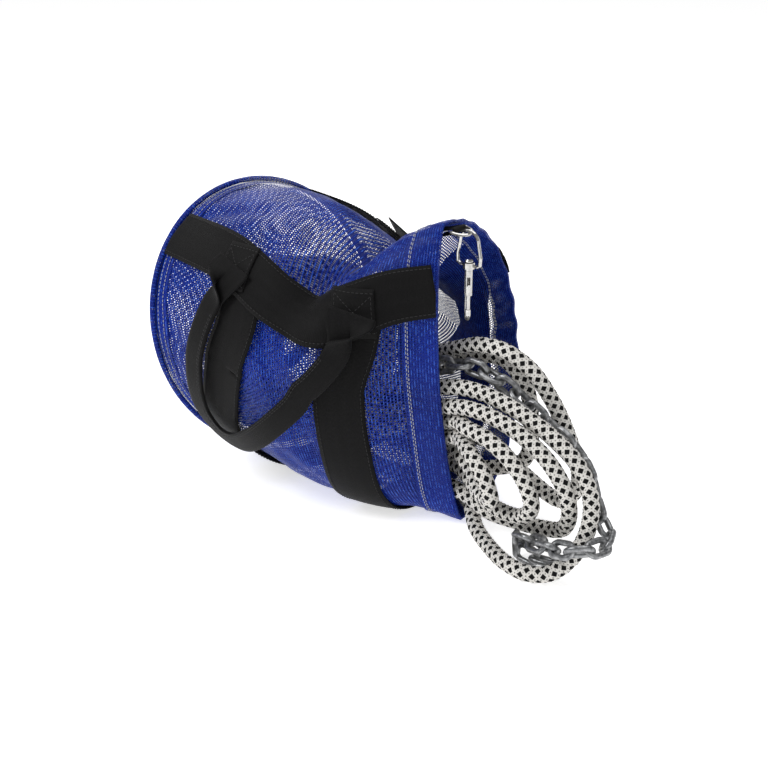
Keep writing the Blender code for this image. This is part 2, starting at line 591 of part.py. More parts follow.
def snap_hook(parts, cutters):
    """Hook: barrel for the bolt, a bar down its back and a round hook at the bottom."""
    top, facing = barrel_top(), hook_turn()
    back = -facing * HOOK_REACH
    bend = HOOK_REACH / 2
    low = HOOK_LENGTH - bend - HOOK_WIRE / 2
    arc = np.radians(np.linspace(180.0, 360.0, 11))
    flat = [(HOOK_REACH * share, HOOK_WIRE * bars) for share, bars in HOOK_NECK]
    flat += [(bend - bend * math.cos(a), low - bend * math.sin(a)) for a in arc]
    flat += [(0.0, low - HOOK_TIP)]
    points = [top + back * (reach / HOOK_REACH) - np.array([0, 0, depth]) for reach, depth in flat]
    made = as_mesh(closed_tube("snap_hook", points, HOOK_WIRE / 2, parts, "nickel"), parts)
    made.data.materials.append(material("nickel"))
    middle = top - np.array([0.0, 0.0, BARREL_LENGTH / 2])
    combine(made, cylinder("hook_barrel", BARREL_RADIUS, BARREL_LENGTH, middle, parts), "UNION", cutters)
    bore_length = BARREL_LENGTH - BARREL_ROOF
    bore = top - np.array([0.0, 0.0, BARREL_ROOF + bore_length])
    bore_cutter = cylinder("barrel_bore", BOLT_RADIUS + GAP, 2 * bore_length, bore, parts)
    combine(made, bore_cutter, "DIFFERENCE", cutters)
    slot_height = STUD_RADIUS * 2 + 2 * GAP + BOLT_TRAVEL
    slot_middle = stud_centre() + np.array([0.0, 0.0, BOLT_TRAVEL / 2]) + facing * BARREL_RADIUS
    slot = block("stud_slot", (BARREL_RADIUS * 2, STUD_RADIUS * 2 + 2 * GAP, slot_height), slot_middle, parts,
                 turn=math.radians(HOOK_FACING))
    return combine(made, slot, "DIFFERENCE", cutters)


def hook_tip():
    """Top of the hook's tip, on the bolt's axis."""
    return barrel_top() - np.array([0.0, 0.0, HOOK_LENGTH - HOOK_REACH / 2 - HOOK_WIRE / 2 - HOOK_TIP])


def stud_centre():
    """Where the thumb stud leaves the bolt, with the bolt closed."""
    return barrel_top() - np.array([0.0, 0.0, BARREL_ROOF + SPRING_LENGTH + STUD_BELOW])


def snap_bolt(parts, cutters):
    """Sliding bolt that closes the hook, with its thumb stud."""
    low = hook_tip()[2] + GAP
    high = barrel_top()[2] - BARREL_ROOF - SPRING_LENGTH - GAP
    axis = barrel_top()
    middle = np.array([axis[0], axis[1], (low + high) / 2])
    made = cylinder("snap_bolt", BOLT_RADIUS, high - low, middle, parts, "nickel")
    stud_length = BARREL_RADIUS + STUD_PROUD
    stud_middle = stud_centre() + hook_turn() * stud_length / 2
    stud = cylinder("bolt_stud", STUD_RADIUS, stud_length, stud_middle, parts,
                    axis=hook_turn(), sides=12)
    return combine(made, stud, "UNION", cutters)


def snap_spring(parts):
    """Coil spring in the barrel that keeps the bolt closed."""
    top = barrel_top() - np.array([0.0, 0.0, BARREL_ROOF + GAP])
    turns, per_turn = 5, 8
    count = turns * per_turn + 1
    angle = np.arange(count) * 2 * math.pi / per_turn
    drop = SPRING_WIRE / 2 + (SPRING_LENGTH - 2 * GAP - SPRING_WIRE) * np.arange(count) / (count - 1)
    radius = BOLT_RADIUS - SPRING_WIRE
    points = np.stack([top[0] + radius * np.cos(angle), top[1] + radius * np.sin(angle),
                       top[2] - drop], axis=1)
    return closed_tube("snap_spring", points, SPRING_WIRE / 2, parts, "steel", resolution=1)


# ---------------------------------------------------------------- rope and chain
def base_axis():
    """Unit direction from the base into the bag."""
    lean, turn = np.radians(SECTIONS[0, 7]), np.radians(SECTIONS[0, 8])
    axis = np.array([1.0, math.tan(turn), math.tan(lean)])
    return axis / np.linalg.norm(axis)


def coil_middle():
    """Middle of the rope coil, which leans on the base."""
    middle = SECTIONS[0, 1:3] + base_axis()[:2] * (COIL_CLEAR + COIL_ROWS * ROPE_DIAMETER / 2)
    return np.array([middle[0], middle[1], COIL_LIFT * ROUND_SCALE])


def rope_coil(parts):
    """Outer shape of the coil of rope put away against the base."""
    half_wall = COIL_LAYERS * ROPE_DIAMETER / 2
    half_length = COIL_ROWS * ROPE_DIAMETER / 2
    outer = COIL_SHARE * BASE_RADIUS
    inner = outer - 2 * half_wall
    edge = ROPE_DIAMETER / 2
    profile = [(inner + edge, half_length), (outer - edge, half_length), (outer, half_length - edge),
               (outer, edge - half_length), (outer - edge, -half_length), (inner + edge, -half_length),
               (inner, edge - half_length), (inner, half_length - edge)]
    return turned("rope_coil", profile, coil_middle(), parts, "rope", axis=base_axis(), steps=28)


def end_tab(parts):
    """Webbing tab sewn inside the base, which holds the rope's inner end."""
    size = (END_TAB_LENGTH, END_TAB_WIDTH, WEBBING_THICK * 2)
    base = np.array([SECTIONS[0, 1], SECTIONS[0, 2], (SECTIONS[0, 5] + SECTIONS[0, 6]) / 2])
    middle = base + base_axis() * (END_TAB_LENGTH / 2 + END_TAB_CLEAR + MESH_WALL)
    made = block("end_tab", size, middle, parts, "webbing")
    made.rotation_mode = "QUATERNION"
    made.rotation_quaternion = Vector((1, 0, 0)).rotation_difference(Vector(base_axis()))
    return made


def rope_run(parts):
    """The rope from the coil out of the mouth, over and under itself, and back into the bag."""
    points = along_route(ROPE_ROUTE, ROPE_POINT_SPACING, ROPE_DIAMETER / 2)
    return closed_tube("rope_run", points, ROPE_DIAMETER / 2, parts, "rope")


def chain_run(parts):
    """Outer shape of the chain, which scene dressing replaces with its links."""
    points = along_route(CHAIN_ROUTE, CHAIN_POINT_SPACING, CHAIN_WIDTH / 2)
    return closed_tube("chain_run", points, CHAIN_WIDTH / 2, parts, "steel")


def clear_scene():
    """Removes whatever objects the scene starts with."""
    for item in list(bpy.data.objects):
        bpy.data.objects.remove(item, do_unlink=True)


def main():
    """Builds every piece of the bag and what spills out of it."""
    clear_scene()
    parts = bpy.data.collections.new("rope_bag")
    cutters = bpy.data.collections.new("cutters")
    for home in (parts, cutters):
        bpy.context.scene.collection.children.link(home)
    side_panel(parts)
    base_panel(parts)
    base_piping(parts)
    mouth_hem(parts)
    webbing(parts)
    handle(parts, "near", HANDLE_LINE)
    handle(parts, "far", mirrored(HANDLE_LINE))
    ring_tab(parts)
    d_ring(parts)
    snap_eye(parts, cutters)
    swivel_post(parts)
    snap_hook(parts, cutters)
    snap_bolt(parts, cutters)
    snap_spring(parts)
    end_tab(parts)
    rope_coil(parts)
    rope_run(parts)
    chain_run(parts)
    for made in parts.objects:
        if made.type == "MESH":
            shade(made)


main()
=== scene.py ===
"""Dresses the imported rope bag: a mesh barrel bag with webbing, snap hook, rope and chain.

Lengths are metres; angles are degrees where a name ends in _deg and radians elsewhere.
+Z is up, the floor is z = 0, the bag's base is at -X, its mouth at +X, its near side at -Y.
"""
import logging
import math
from dataclasses import dataclass, field
from enum import Enum
from typing import Iterable, Optional, Sequence

import bpy
import numpy as np
from mathutils import Euler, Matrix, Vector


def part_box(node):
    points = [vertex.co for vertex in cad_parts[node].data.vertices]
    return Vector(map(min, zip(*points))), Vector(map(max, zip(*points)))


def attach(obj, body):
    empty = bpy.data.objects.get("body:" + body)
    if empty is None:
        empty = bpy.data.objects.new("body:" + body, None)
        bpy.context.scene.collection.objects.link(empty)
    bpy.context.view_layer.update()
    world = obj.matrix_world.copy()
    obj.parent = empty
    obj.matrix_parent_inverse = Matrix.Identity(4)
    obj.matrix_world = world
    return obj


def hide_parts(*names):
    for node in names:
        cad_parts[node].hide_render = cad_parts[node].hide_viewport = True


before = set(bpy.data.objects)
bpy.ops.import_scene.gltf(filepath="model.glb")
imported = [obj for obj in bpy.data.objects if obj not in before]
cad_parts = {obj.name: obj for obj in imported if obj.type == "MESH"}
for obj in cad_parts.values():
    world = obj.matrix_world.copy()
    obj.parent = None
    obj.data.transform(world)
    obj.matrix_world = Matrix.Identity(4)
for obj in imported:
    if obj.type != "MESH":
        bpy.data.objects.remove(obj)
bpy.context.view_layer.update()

LOG = logging.getLogger("rope_bag")
Array = np.ndarray
Colour = tuple[float, float, float]
TURN = 2.0 * math.pi


class Body(Enum):
    """CAD bodies that pieces ride on."""

    BAG = "bag"
    NEAR_HANDLE = "near_handle"
    FAR_HANDLE = "far_handle"


class Slot(Enum):
    """Material slots of the record."""

    MESH = "mesh"
    WEBBING = "webbing"
    ROPE = "rope"
    GALVANISED = "galvanised"


class Side(Enum):
    """The two long sides of the bag."""

    NEAR = "near"
    FAR = "far"


# ------------------------------------------------------------------ curves and grids
def unit(vectors: Array) -> Array:
    """Returns vectors scaled to length one along their last axis."""
    return vectors / np.linalg.norm(vectors, axis=-1, keepdims=True)


def ease(share: Array) -> Array:
    """Returns the smooth step 3s^2 - 2s^3 of a share cut to 0..1."""
    cut = np.clip(share, 0.0, 1.0)
    return cut * cut * (3.0 - 2.0 * cut)


def smooth_curve(knots: Array, values: Array, at: Array) -> Array:
    """Reads a curve of cubic pieces with central slopes through (knots, values).

    Args:
        knots: rising places of the known values.
        values: one row for each knot.
        at: places to read.

    Returns:
        The curve's rows at those places.
    """
    knots, at = np.asarray(knots, float), np.asarray(at, float)
    values = np.asarray(values, float)
    slopes = np.gradient(values, knots, axis=0)
    piece = np.clip(np.searchsorted(knots, at, side="right") - 1, 0, len(knots) - 2)
    span = knots[piece + 1] - knots[piece]
    t = (at - knots[piece]) / span
    if values.ndim > 1:
        t, span = t[..., None], span[..., None]
    first = (2 * t**3 - 3 * t**2 + 1) * values[piece] + (t**3 - 2 * t**2 + t) * span * slopes[piece]
    last = (3 * t**2 - 2 * t**3) * values[piece + 1] + (t**3 - t**2) * span * slopes[piece + 1]
    return first + last


def run_of(points: Array) -> Array:
    """Returns the distance run along a polyline at each of its points."""
    return np.concatenate([[0.0], np.cumsum(np.linalg.norm(np.diff(points, axis=0), axis=1))])


def read_line(points: Array, at: Array) -> Array:
    """Returns the points of a polyline at distances run along it."""
    run = run_of(points)
    return np.stack([np.interp(at, run, points[:, axis]) for axis in range(3)], axis=1)


def smooth_route(points: Sequence[Sequence[float]] | Array, spacing: float) -> Array:
    """Spaces points evenly along the smooth curve through given points.

    Args:
        points: the given points.
        spacing: wanted distance between the returned points.

    Returns:
        The evenly spaced points, both ends kept.
    """
    points = np.array(points, float)
    knots = run_of(points)
    fine = smooth_curve(knots, points, np.linspace(0.0, knots[-1], 60 * len(points)))
    length = run_of(fine)[-1]
    count = max(2, int(round(length / spacing)) + 1)
    return read_line(fine, np.linspace(0.0, length, count))


def path_frames(points: Array) -> tuple[Array, Array, Array]:
    """Finds frames that turn as little as they can along a path.

    A first normal comes from a fixed slanting direction; the small twist from each frame to
    the next is measured, summed along the path and taken back out.

    Args:
        points: the path.

    Returns:
        Tangents, normals and binormals, one row for each point.
    """
    tangent = unit(np.gradient(points, axis=0))
    normal = unit(np.cross(tangent, np.array([0.31, 0.22, 0.92])))
    binormal = np.cross(tangent, normal)
    carried = normal[:-1] - (normal[:-1] * tangent[1:]).sum(1, keepdims=True) * tangent[1:]
    twist = np.arctan2((carried * binormal[1:]).sum(1), (carried * normal[1:]).sum(1))
    angle = np.concatenate([[0.0], np.cumsum(twist)])[:, None]
    turned = np.cos(angle) * normal + np.sin(angle) * binormal
    return tangent, turned, np.cross(tangent, turned)


def tube_grid(path: Array, radius: Array | float, sides: int) -> Array:
    """Wraps rings of points round a path: centre + radius (cos a normal + sin a binormal).

    Args:
        path: centre line.
        radius: one number, or one for each ring and side.
        sides: points on each ring.

    Returns:
        Grid of points, rings by sides.
    """
    _, normal, binormal = path_frames(path)
    angle = np.arange(sides) * TURN / sides
    spoke = np.cos(angle)[None, :, None] * normal[:, None] + np.sin(angle)[None, :, None] * binormal[:, None]
    return path[:, None] + spoke * np.broadcast_to(radius, spoke.shape[:2])[..., None]


def grid_faces(rows: int, columns: int, wrap_rows: bool, wrap_columns: bool) -> Array:
    """Returns quads over a grid of points, whose normal is the column direction x the row direction."""
    i = np.arange(rows if wrap_rows else rows - 1)[:, None]
    j = np.arange(columns if wrap_columns else columns - 1)[None, :]
    next_i, next_j = (i + 1) % rows, (j + 1) % columns
    quads = (i * columns + j, i * columns + next_j, next_i * columns + next_j, next_i * columns + j)
    return np.stack(quads, axis=-1).reshape(-1, 4)


def corner_uv(u: Array, v: Array) -> Array:
    """Returns face-corner coordinates in the order of grid_faces, from a grid of u and v.

    The grids hold one row or column more than the points where the surface wraps.
    """
    both = np.stack(np.broadcast_arrays(u, v), axis=-1)
    corners = (both[:-1, :-1], both[:-1, 1:], both[1:, 1:], both[1:, :-1])
    return np.stack(corners, axis=2).reshape(-1, 2)


def fill_mesh(name: str, points: Array, faces: Array, uv: Optional[Array] = None,
              rings: Iterable[Array] = ()) -> bpy.types.Mesh:
    """Puts whole arrays of points and faces into a new mesh.

    Args:
        name: the mesh's name.
        points: all points, any shape ending in 3.
        faces: quads.
        uv: two numbers for each corner of the quads.
        rings: outlines of end caps, in the order that faces them out.

    Returns:
        The new mesh.
    """
    rings = [np.asarray(ring) for ring in rings]
    corners = np.concatenate([faces.ravel(), *rings]).astype(np.int32)
    sizes = np.concatenate([np.full(len(faces), faces.shape[1]), [len(ring) for ring in rings]])
    sizes = sizes.astype(np.int32)
    mesh = bpy.data.meshes.new(name)
    mesh.vertices.add(points.size // 3)
    mesh.vertices.foreach_set("co", points.astype(np.float32).ravel())
    mesh.loops.add(len(corners))
    mesh.loops.foreach_set("vertex_index", corners)
    mesh.polygons.add(len(sizes))
    mesh.polygons.foreach_set("loop_start", np.concatenate([[0], np.cumsum(sizes)[:-1]]).astype(np.int32))
    mesh.update(calc_edges=True)
    if uv is not None:
        filled = np.zeros((len(corners), 2), np.float32)
        filled[:len(uv)] = uv
        mesh.uv_layers.new(name="UVMap").data.foreach_set("uv", filled.ravel())
    mesh.validate()
    mesh.shade_smooth()
    return mesh


def tube_mesh(name: str, path: Array, radius: Array | float, sides: int) -> bpy.types.Mesh:
    """Makes a capped tube along a path; its u runs once round and its v is the distance run."""
    grid = tube_grid(path, radius, sides)
    rows = len(path)
    around = np.linspace(0.0, 1.0, sides + 1)[None, :]
    uv = corner_uv(around, run_of(path)[:, None])
    last = (rows - 1) * sides + np.arange(sides)
    return fill_mesh(name, grid, grid_faces(rows, sides, False, True), uv, (np.arange(sides)[::-1], last))


def show(name: str, mesh: bpy.types.Mesh, finish: bpy.types.Material, body: Body,
         wall: float = 0.0, offset: float = 1.0) -> bpy.types.Object:
    """Shows a mesh as a piece of the object.

    Args:
        name: the piece's name.
        mesh: its mesh, in place.
        finish: its material.
        body: the CAD body it rides on.
        wall: thickness that a single sheet is given, or 0.
        offset: 1 grows the wall out from the sheet, -1 in.

    Returns:
        The new object.
    """
    mesh.materials.append(finish)
    piece = bpy.data.objects.new(name, mesh)
    bpy.context.scene.collection.objects.link(piece)
    if wall:
        solid = piece.modifiers.new("wall", "SOLIDIFY")
        solid.thickness = wall
        solid.offset = offset
    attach(piece, body.value)
    LOG.info("%s: %d faces on %s", name, len(mesh.polygons), body.value)
    return piece


# ------------------------------------------------------------------ shader building
class Graph:
    """A material's or a group's node tree, with short calls to add and link nodes."""

    def __init__(self, tree: bpy.types.NodeTree) -> None:
        """Keeps the tree."""
        self.tree = tree

    def add(self, kind: str, values: Optional[dict] = None, **settings: object) -> bpy.types.Node:
        """Adds a node.

        Args:
            kind: Blender's node type.
            values: what each input takes, a number, a colour or another node's output.
            settings: the node's own properties.

        Returns:
            The node.
        """
        node = self.tree.nodes.new(kind)
        for key, value in settings.items():
            setattr(node, key, value)
        for key, value in (values or {}).items():
            if isinstance(value, bpy.types.NodeSocket):
                self.tree.links.new(value, node.inputs[key])
            else:
                node.inputs[key].default_value = value
        return node

    def math(self, operation: str, *terms: object) -> bpy.types.NodeSocket:
        """Returns the result of a Math node."""
        return self.add("ShaderNodeMath", dict(enumerate(terms)), operation=operation).outputs[0]

    def step(self, value: object, low: float, high: float) -> bpy.types.NodeSocket:
        """Returns 0 below low, 1 above high and a smooth step between them."""
        wanted = {"Value": value, "From Min": low, "From Max": high}
        return self.add("ShaderNodeMapRange", wanted, interpolation_type="SMOOTHSTEP").outputs["Result"]

    def scaled(self, value: object, low: float, high: float, to_low: float,
               to_high: float) -> bpy.types.NodeSocket:
        """Returns value carried from low..high to to_low..to_high."""
        wanted = {"Value": value, "From Min": low, "From Max": high, "To Min": to_low, "To Max": to_high}
        return self.add("ShaderNodeMapRange", wanted).outputs["Result"]

    def mix(self, share: object, first: object, second: object) -> bpy.types.NodeSocket:
        """Returns a colour mixed from first to second by share."""
        node = self.add("ShaderNodeMix", data_type="RGBA")
        for socket, value in zip((node.inputs[0], node.inputs[6], node.inputs[7]), (share, first, second)):
            if isinstance(value, bpy.types.NodeSocket):
                self.tree.links.new(value, socket)
            elif isinstance(value, tuple):
                socket.default_value = (*value[:3], 1.0)
            else:
                socket.default_value = value
        return node.outputs[2]

    def noise(self, vector: object, scale: float, detail: float = 3.0,
              rough: float = 0.5) -> bpy.types.NodeSocket:
        """Returns soft noise of about 0.2 to 0.8."""
        wanted = {"Vector": vector, "Scale": scale, "Detail": detail, "Roughness": rough}
        return self.add("ShaderNodeTexNoise", wanted).outputs["Fac"]

    def bump(self, height: object, strength: float, distance: float,
             normal: Optional[bpy.types.NodeSocket] = None) -> bpy.types.NodeSocket:
        """Returns a normal bent by a height."""
        wanted: dict = {"Height": height, "Strength": strength, "Distance": distance}
        if normal is not None:
            wanted["Normal"] = normal
        return self.add("ShaderNodeBump", wanted).outputs["Normal"]


def wear_group() -> bpy.types.NodeTree:
    """Returns the shared group that greys, dusts and roughens any finish in soft patches.

    Two noises in object space, one of hand-sized patches and one of fine specks, are mixed;
    the colour is lightened towards dust and darkened in turn, and the roughness follows.
    """
    known = bpy.data.node_groups.get("Soft wear")
    if known:
        return known
    tree = bpy.data.node_groups.new("Soft wear", "ShaderNodeTree")
    for name, kind, value in (("Color", "NodeSocketColor", (0.5, 0.5, 0.5, 1.0)),
                              ("Roughness", "NodeSocketFloat", 0.5), ("Patches", "NodeSocketFloat", 14.0),
                              ("Amount", "NodeSocketFloat", 0.2)):
        tree.interface.new_socket(name=name, in_out="INPUT", socket_type=kind).default_value = value
    tree.interface.new_socket(name="Color", in_out="OUTPUT", socket_type="NodeSocketColor")
    tree.interface.new_socket(name="Roughness", in_out="OUTPUT", socket_type="NodeSocketFloat")
    graph = Graph(tree)
    given = graph.add("NodeGroupInput").outputs
    place = graph.add("ShaderNodeTexCoord").outputs["Object"]
    patches = graph.add("ShaderNodeTexNoise", {"Vector": place, "Scale": given["Patches"], "Detail": 4.0})
    specks = graph.noise(place, 420.0, 2.0, 0.6)
    both = graph.math("ADD", graph.math("MULTIPLY", patches.outputs["Fac"], 0.75),
                      graph.math("MULTIPLY", specks, 0.25))
    centred = graph.math("MULTIPLY", graph.math("SUBTRACT", both, 0.5), given["Amount"])
    gain = graph.math("MULTIPLY_ADD", centred, 4.0, 1.0)
    bright = graph.add("ShaderNodeVectorMath", {0: given["Color"], "Scale": gain}, operation="SCALE")
    rough = graph.add("ShaderNodeMath", {0: centred, 1: 1.2, 2: given["Roughness"]},
                      operation="MULTIPLY_ADD", use_clamp=True)
    graph.add("NodeGroupOutput", {"Color": bright.outputs[0], "Roughness": rough.outputs[0]})
    return tree


def new_material(name: str) -> tuple[bpy.types.Material, Graph, bpy.types.Node]:
    """Returns a new material, its graph and its Principled shader."""
    made = bpy.data.materials.new(name)
    made.use_nodes = True
    graph = Graph(made.node_tree)
    return made, graph, made.node_tree.nodes["Principled BSDF"]


def worn(graph: Graph, shader: bpy.types.Node, colour: object, roughness: float | bpy.types.NodeSocket,
         amount: float, patches: float = 14.0) -> None:
    """Feeds the shader's colour and roughness through the shared wear group."""
    wear = graph.add("ShaderNodeGroup", node_tree=wear_group())
    for key, value in (("Color", colour), ("Roughness", roughness), ("Amount", amount), ("Patches", patches)):
        if isinstance(value, bpy.types.NodeSocket):
            graph.tree.links.new(value, wear.inputs[key])
        elif isinstance(value, tuple):
            wear.inputs[key].default_value = (*value, 1.0)
        else:
            wear.inputs[key].default_value = value
    graph.tree.links.new(wear.outputs["Color"], shader.inputs["Base Color"])
    graph.tree.links.new(wear.outputs["Roughness"], shader.inputs["Roughness"])


@dataclass(frozen=True)
class MeshFabric:
    """PVC-coated open mesh: crossing yarns with small holes in staggered rows."""

    name: str = "mesh fabric"
    yarn: Colour = (0.002, 0.015, 0.20)
    # painted highlight colour for the yarn's ridge tops
    painted_glint: Colour = (0.055, 0.165, 0.72)
    pitch: float = 0.0027
    opening: float = 0.92

    def material(self) -> bpy.types.Material:
        """Returns the material.

        The map's two lengths are divided by the pitch; every second row is moved half a
        pitch. The distance from each cell's middle gives the hole, which a soft noise makes
        smaller in zones where the cloth lies double; what is left of the cell, crowned
        towards its middle line, gives the yarn's height.
        """
        made, graph, shader = new_material(self.name)
        where = graph.add("ShaderNodeTexCoord").outputs["UV"]
        parts = graph.add("ShaderNodeSeparateXYZ", {"Vector": where}).outputs
        row = graph.math("DIVIDE", parts["X"], self.pitch)
        column = graph.math("DIVIDE", parts["Y"], self.pitch)
        stagger = graph.math("MULTIPLY", graph.math("FLOORED_MODULO", graph.math("FLOOR", row), 2.0), 0.5)
        across = graph.math("SUBTRACT", graph.math("FRACT", graph.math("ADD", column, stagger)), 0.5)
        down = graph.math("SUBTRACT", graph.math("FRACT", row), 0.5)
        flattened = graph.math("MULTIPLY", graph.math("MULTIPLY", down, down), 0.7)
        squared = graph.math("ADD", graph.math("MULTIPLY", across, across), flattened)
        spread = graph.math("SQRT", squared)
        place = graph.add("ShaderNodeTexCoord").outputs["Object"]
        zones = graph.step(graph.noise(place, 11.0, 2.0, 0.5), 0.40, 0.60)
        solid = graph.step(graph.math("ADD", spread, graph.math("MULTIPLY", zones, 0.11)), 0.27, 0.36)
        ridge = graph.math("ABSOLUTE", down)
        # Painted highlight: the yarn's ridge tops, in speckled patches, take a lighter blue in place of the
        # yarn colour.
        lit = graph.math("MULTIPLY", solid, graph.step(ridge, 0.34, 0.48))
        uneven = graph.noise(place, 260.0, 2.0, 0.6)
        painted_sparkle = graph.math("MULTIPLY", lit, graph.step(uneven, 0.42, 0.66))
        colour = graph.mix(painted_sparkle, self.yarn, self.painted_glint)
        worn(graph, shader, colour, 0.42, 0.28, 18.0)
        height = graph.math("ADD", graph.math("MULTIPLY", solid, 0.7), graph.math("MULTIPLY", lit, 0.4))
        graph.tree.links.new(graph.bump(height, 0.7, 0.0004), shader.inputs["Normal"])
        shader.inputs["Specular IOR Level"].default_value = 0.16
        cover = graph.scaled(solid, 0.0, 1.0, 1.0 - self.opening, 1.0)
        graph.tree.links.new(cover, shader.inputs["Alpha"])
        return made


@dataclass(frozen=True)
class Webbing:
    """Polypropylene webbing: ribs in a herringbone with a firm edge."""

    name: str = "webbing"
    colour: Colour = (0.0018, 0.0017, 0.0019)
    # painted highlight colour for the rib tops
    crown: Colour = (0.0085, 0.0080, 0.0085)
    rib: float = 0.0013
    slant: float = 0.0016
    rows: float = 0.0063

    def material(self) -> bpy.types.Material:
        """Returns the material.

        Ribs are a triangle wave of the length, moved sideways by a second triangle wave of
        the width, which makes the herringbone; fine noise breaks the yarns up.
        """
        made, graph, shader = new_material(self.name)
        where = graph.add("ShaderNodeTexCoord").outputs["UV"]
        parts = graph.add("ShaderNodeSeparateXYZ", {"Vector": where}).outputs
        zigzag = graph.math("MULTIPLY", graph.math("PINGPONG", parts["Y"], self.rows), self.slant / self.rows)
        wave = graph.math("PINGPONG", graph.math("ADD", parts["X"], zigzag), self.rib / 2)
        rib = graph.scaled(wave, 0.0, self.rib / 2, 0.0, 1.0)
        groove = graph.math("PINGPONG", parts["Y"], self.rows)
        warp = graph.scaled(groove, 0.0, self.rows, 0.4, 1.0)
        place = graph.add("ShaderNodeTexCoord").outputs["Object"]
        fuzz = graph.noise(place, 900.0, 2.0, 0.7)
        height = graph.math("ADD", graph.math("MULTIPLY", rib, 0.7), graph.math("MULTIPLY", warp, 0.3))
        # Painted highlight: the rib tops, where the fuzz noise lets it through, take the lighter crown
        # colour.
        tone = graph.math("MULTIPLY", graph.step(height, 0.35, 0.95), graph.step(fuzz, 0.3, 0.75))
        worn(graph, shader, graph.mix(tone, self.colour, self.crown), 0.62, 0.22, 22.0)
        rough = graph.math("ADD", height, graph.math("MULTIPLY", fuzz, 0.5))
        graph.tree.links.new(graph.bump(rough, 0.6, 0.0004), shader.inputs["Normal"])
        shader.inputs["Sheen Weight"].default_value = 0.03
        shader.inputs["Specular IOR Level"].default_value = 0.12
        return made


@dataclass(frozen=True)
class RopeCover:
    """Plaited rope cover: two sets of strands crossing, some of them black."""

    name: str = "rope cover"
    light: Colour = (0.80, 0.78, 0.74)
    # painted shade colour for the hollows between the strands
    shade: Colour = (0.13, 0.12, 0.11)
    fleck: Colour = (0.004, 0.004, 0.0045)
    strands: int = 8
    pick: float = 0.0050

    def material(self) -> bpy.types.Material:
        """Returns the material.

        With s strands each way and picks of length L, the crossing families are
        p = s u + v / L and q = s u - v / L. Black blocks sit in the middle of every second
        crossing of both families, where neither p / 2 nor q / 2 is far from a half, which
        sets them in a quincunx.
        """
        made, graph, shader = new_material(self.name)
        where = graph.add("ShaderNodeTexCoord").outputs["UV"]
        parts = graph.add("ShaderNodeSeparateXYZ", {"Vector": where}).outputs
        turn = graph.math("MULTIPLY", parts["X"], float(self.strands))
        length = graph.math("DIVIDE", parts["Y"], self.pick)
        first, second = graph.math("ADD", turn, length), graph.math("SUBTRACT", turn, length)
        inside = [graph.math("SUBTRACT", graph.math("FRACT", family), 0.5) for family in (first, second)]
        halves = [graph.math("FRACT", graph.math("MULTIPLY", family, 0.5)) for family in (first, second)]
        away = [graph.math("ABSOLUTE", graph.math("SUBTRACT", half, 0.5)) for half in halves]
        dark = graph.math("SUBTRACT", 1.0, graph.step(graph.math("MAXIMUM", *away), 0.27, 0.32))
        wide = [graph.math("MULTIPLY", part, part) for part in inside]
        fall = graph.math("ADD", *wide)
        crown = graph.math("SUBTRACT", 1.0, graph.math("MULTIPLY", fall, 2.0))
        edge = graph.step(crown, 0.10, 0.50)
        place = graph.add("ShaderNodeTexCoord").outputs["Object"]
        fibre = graph.noise(place, 700.0, 3.0, 0.7)
        # Painted shade: the hollows between the strands' crowns take the dark shade colour and the crowns
        # take the light colour, which the fibre noise varies.
        base = graph.mix(graph.math("MULTIPLY", edge, graph.scaled(fibre, 0.2, 0.8, 0.72, 1.0)),
                         self.shade, self.light)
        worn(graph, shader, graph.mix(dark, base, self.fleck), 0.78, 0.16, 30.0)
        height = graph.math("ADD", crown, graph.math("MULTIPLY", fibre, 0.4))
        graph.tree.links.new(graph.bump(height, 0.8, 0.0008), shader.inputs["Normal"])
        shader.inputs["Specular IOR Level"].default_value = 0.15
        return made


@dataclass(frozen=True)
class Metal:
    """Plated or galvanised metal, mottled and scuffed."""

    name: str
    colour: Colour
    stain: Colour
    roughness: float
    mottle: float
    grain: float = 0.0002
    metallic: float = 1.0
    wear: float = 0.2

    def material(self) -> bpy.types.Material:
        """Returns the material: cell-like mottling mixes colour and stain, noise makes the grain."""
        made, graph, shader = new_material(self.name)
        place = graph.add("ShaderNodeTexCoord").outputs["Object"]
        cloud = graph.noise(place, self.mottle, 5.0, 0.6)
        fine = graph.noise(place, self.mottle * 9.0, 3.0, 0.6)
        colour = graph.mix(graph.step(cloud, 0.35, 0.68), self.stain, self.colour)
        worn(graph, shader, colour, self.roughness, self.wear, 60.0)
        height = graph.math("ADD", cloud, graph.math("MULTIPLY", fine, 0.6))
        graph.tree.links.new(graph.bump(height, 0.35, self.grain), shader.inputs["Normal"])
        shader.inputs["Metallic"].default_value = self.metallic
        return made


@dataclass(frozen=True)
class Thread:
    """Twisted sewing thread."""

    name: str = "thread"
    colour: Colour = (0.52, 0.53, 0.56)

    def material(self) -> bpy.types.Material:
        """Returns the material: fine noise along the yarn for its colour and its twist."""
        made, graph, shader = new_material(self.name)
        place = graph.add("ShaderNodeTexCoord").outputs["Object"]
        twist = graph.noise(place, 1400.0, 2.0, 0.6)
        dark = tuple(part * 0.55 for part in self.colour)
        worn(graph, shader, graph.mix(graph.step(twist, 0.3, 0.6), dark, self.colour), 0.7, 0.15)
        graph.tree.links.new(graph.bump(twist, 0.5, 0.0002), shader.inputs["Normal"])
        return made


# ------------------------------------------------------------------ the bag's skin
@dataclass(frozen=True)
class Buckle:
    """A soft dent in the skin: a bell of depth, its middle drifting along as it goes round."""

    depth: float
    place: float
    drift: float
    half_along: float
    middle_deg: float
    half_around_deg: float


@dataclass(frozen=True)
class Crease:
    """A shallow fold line in the mesh between two places on the skin (along, around)."""

    start: tuple[float, float]
    end: tuple[float, float]
    depth: float
    width: float


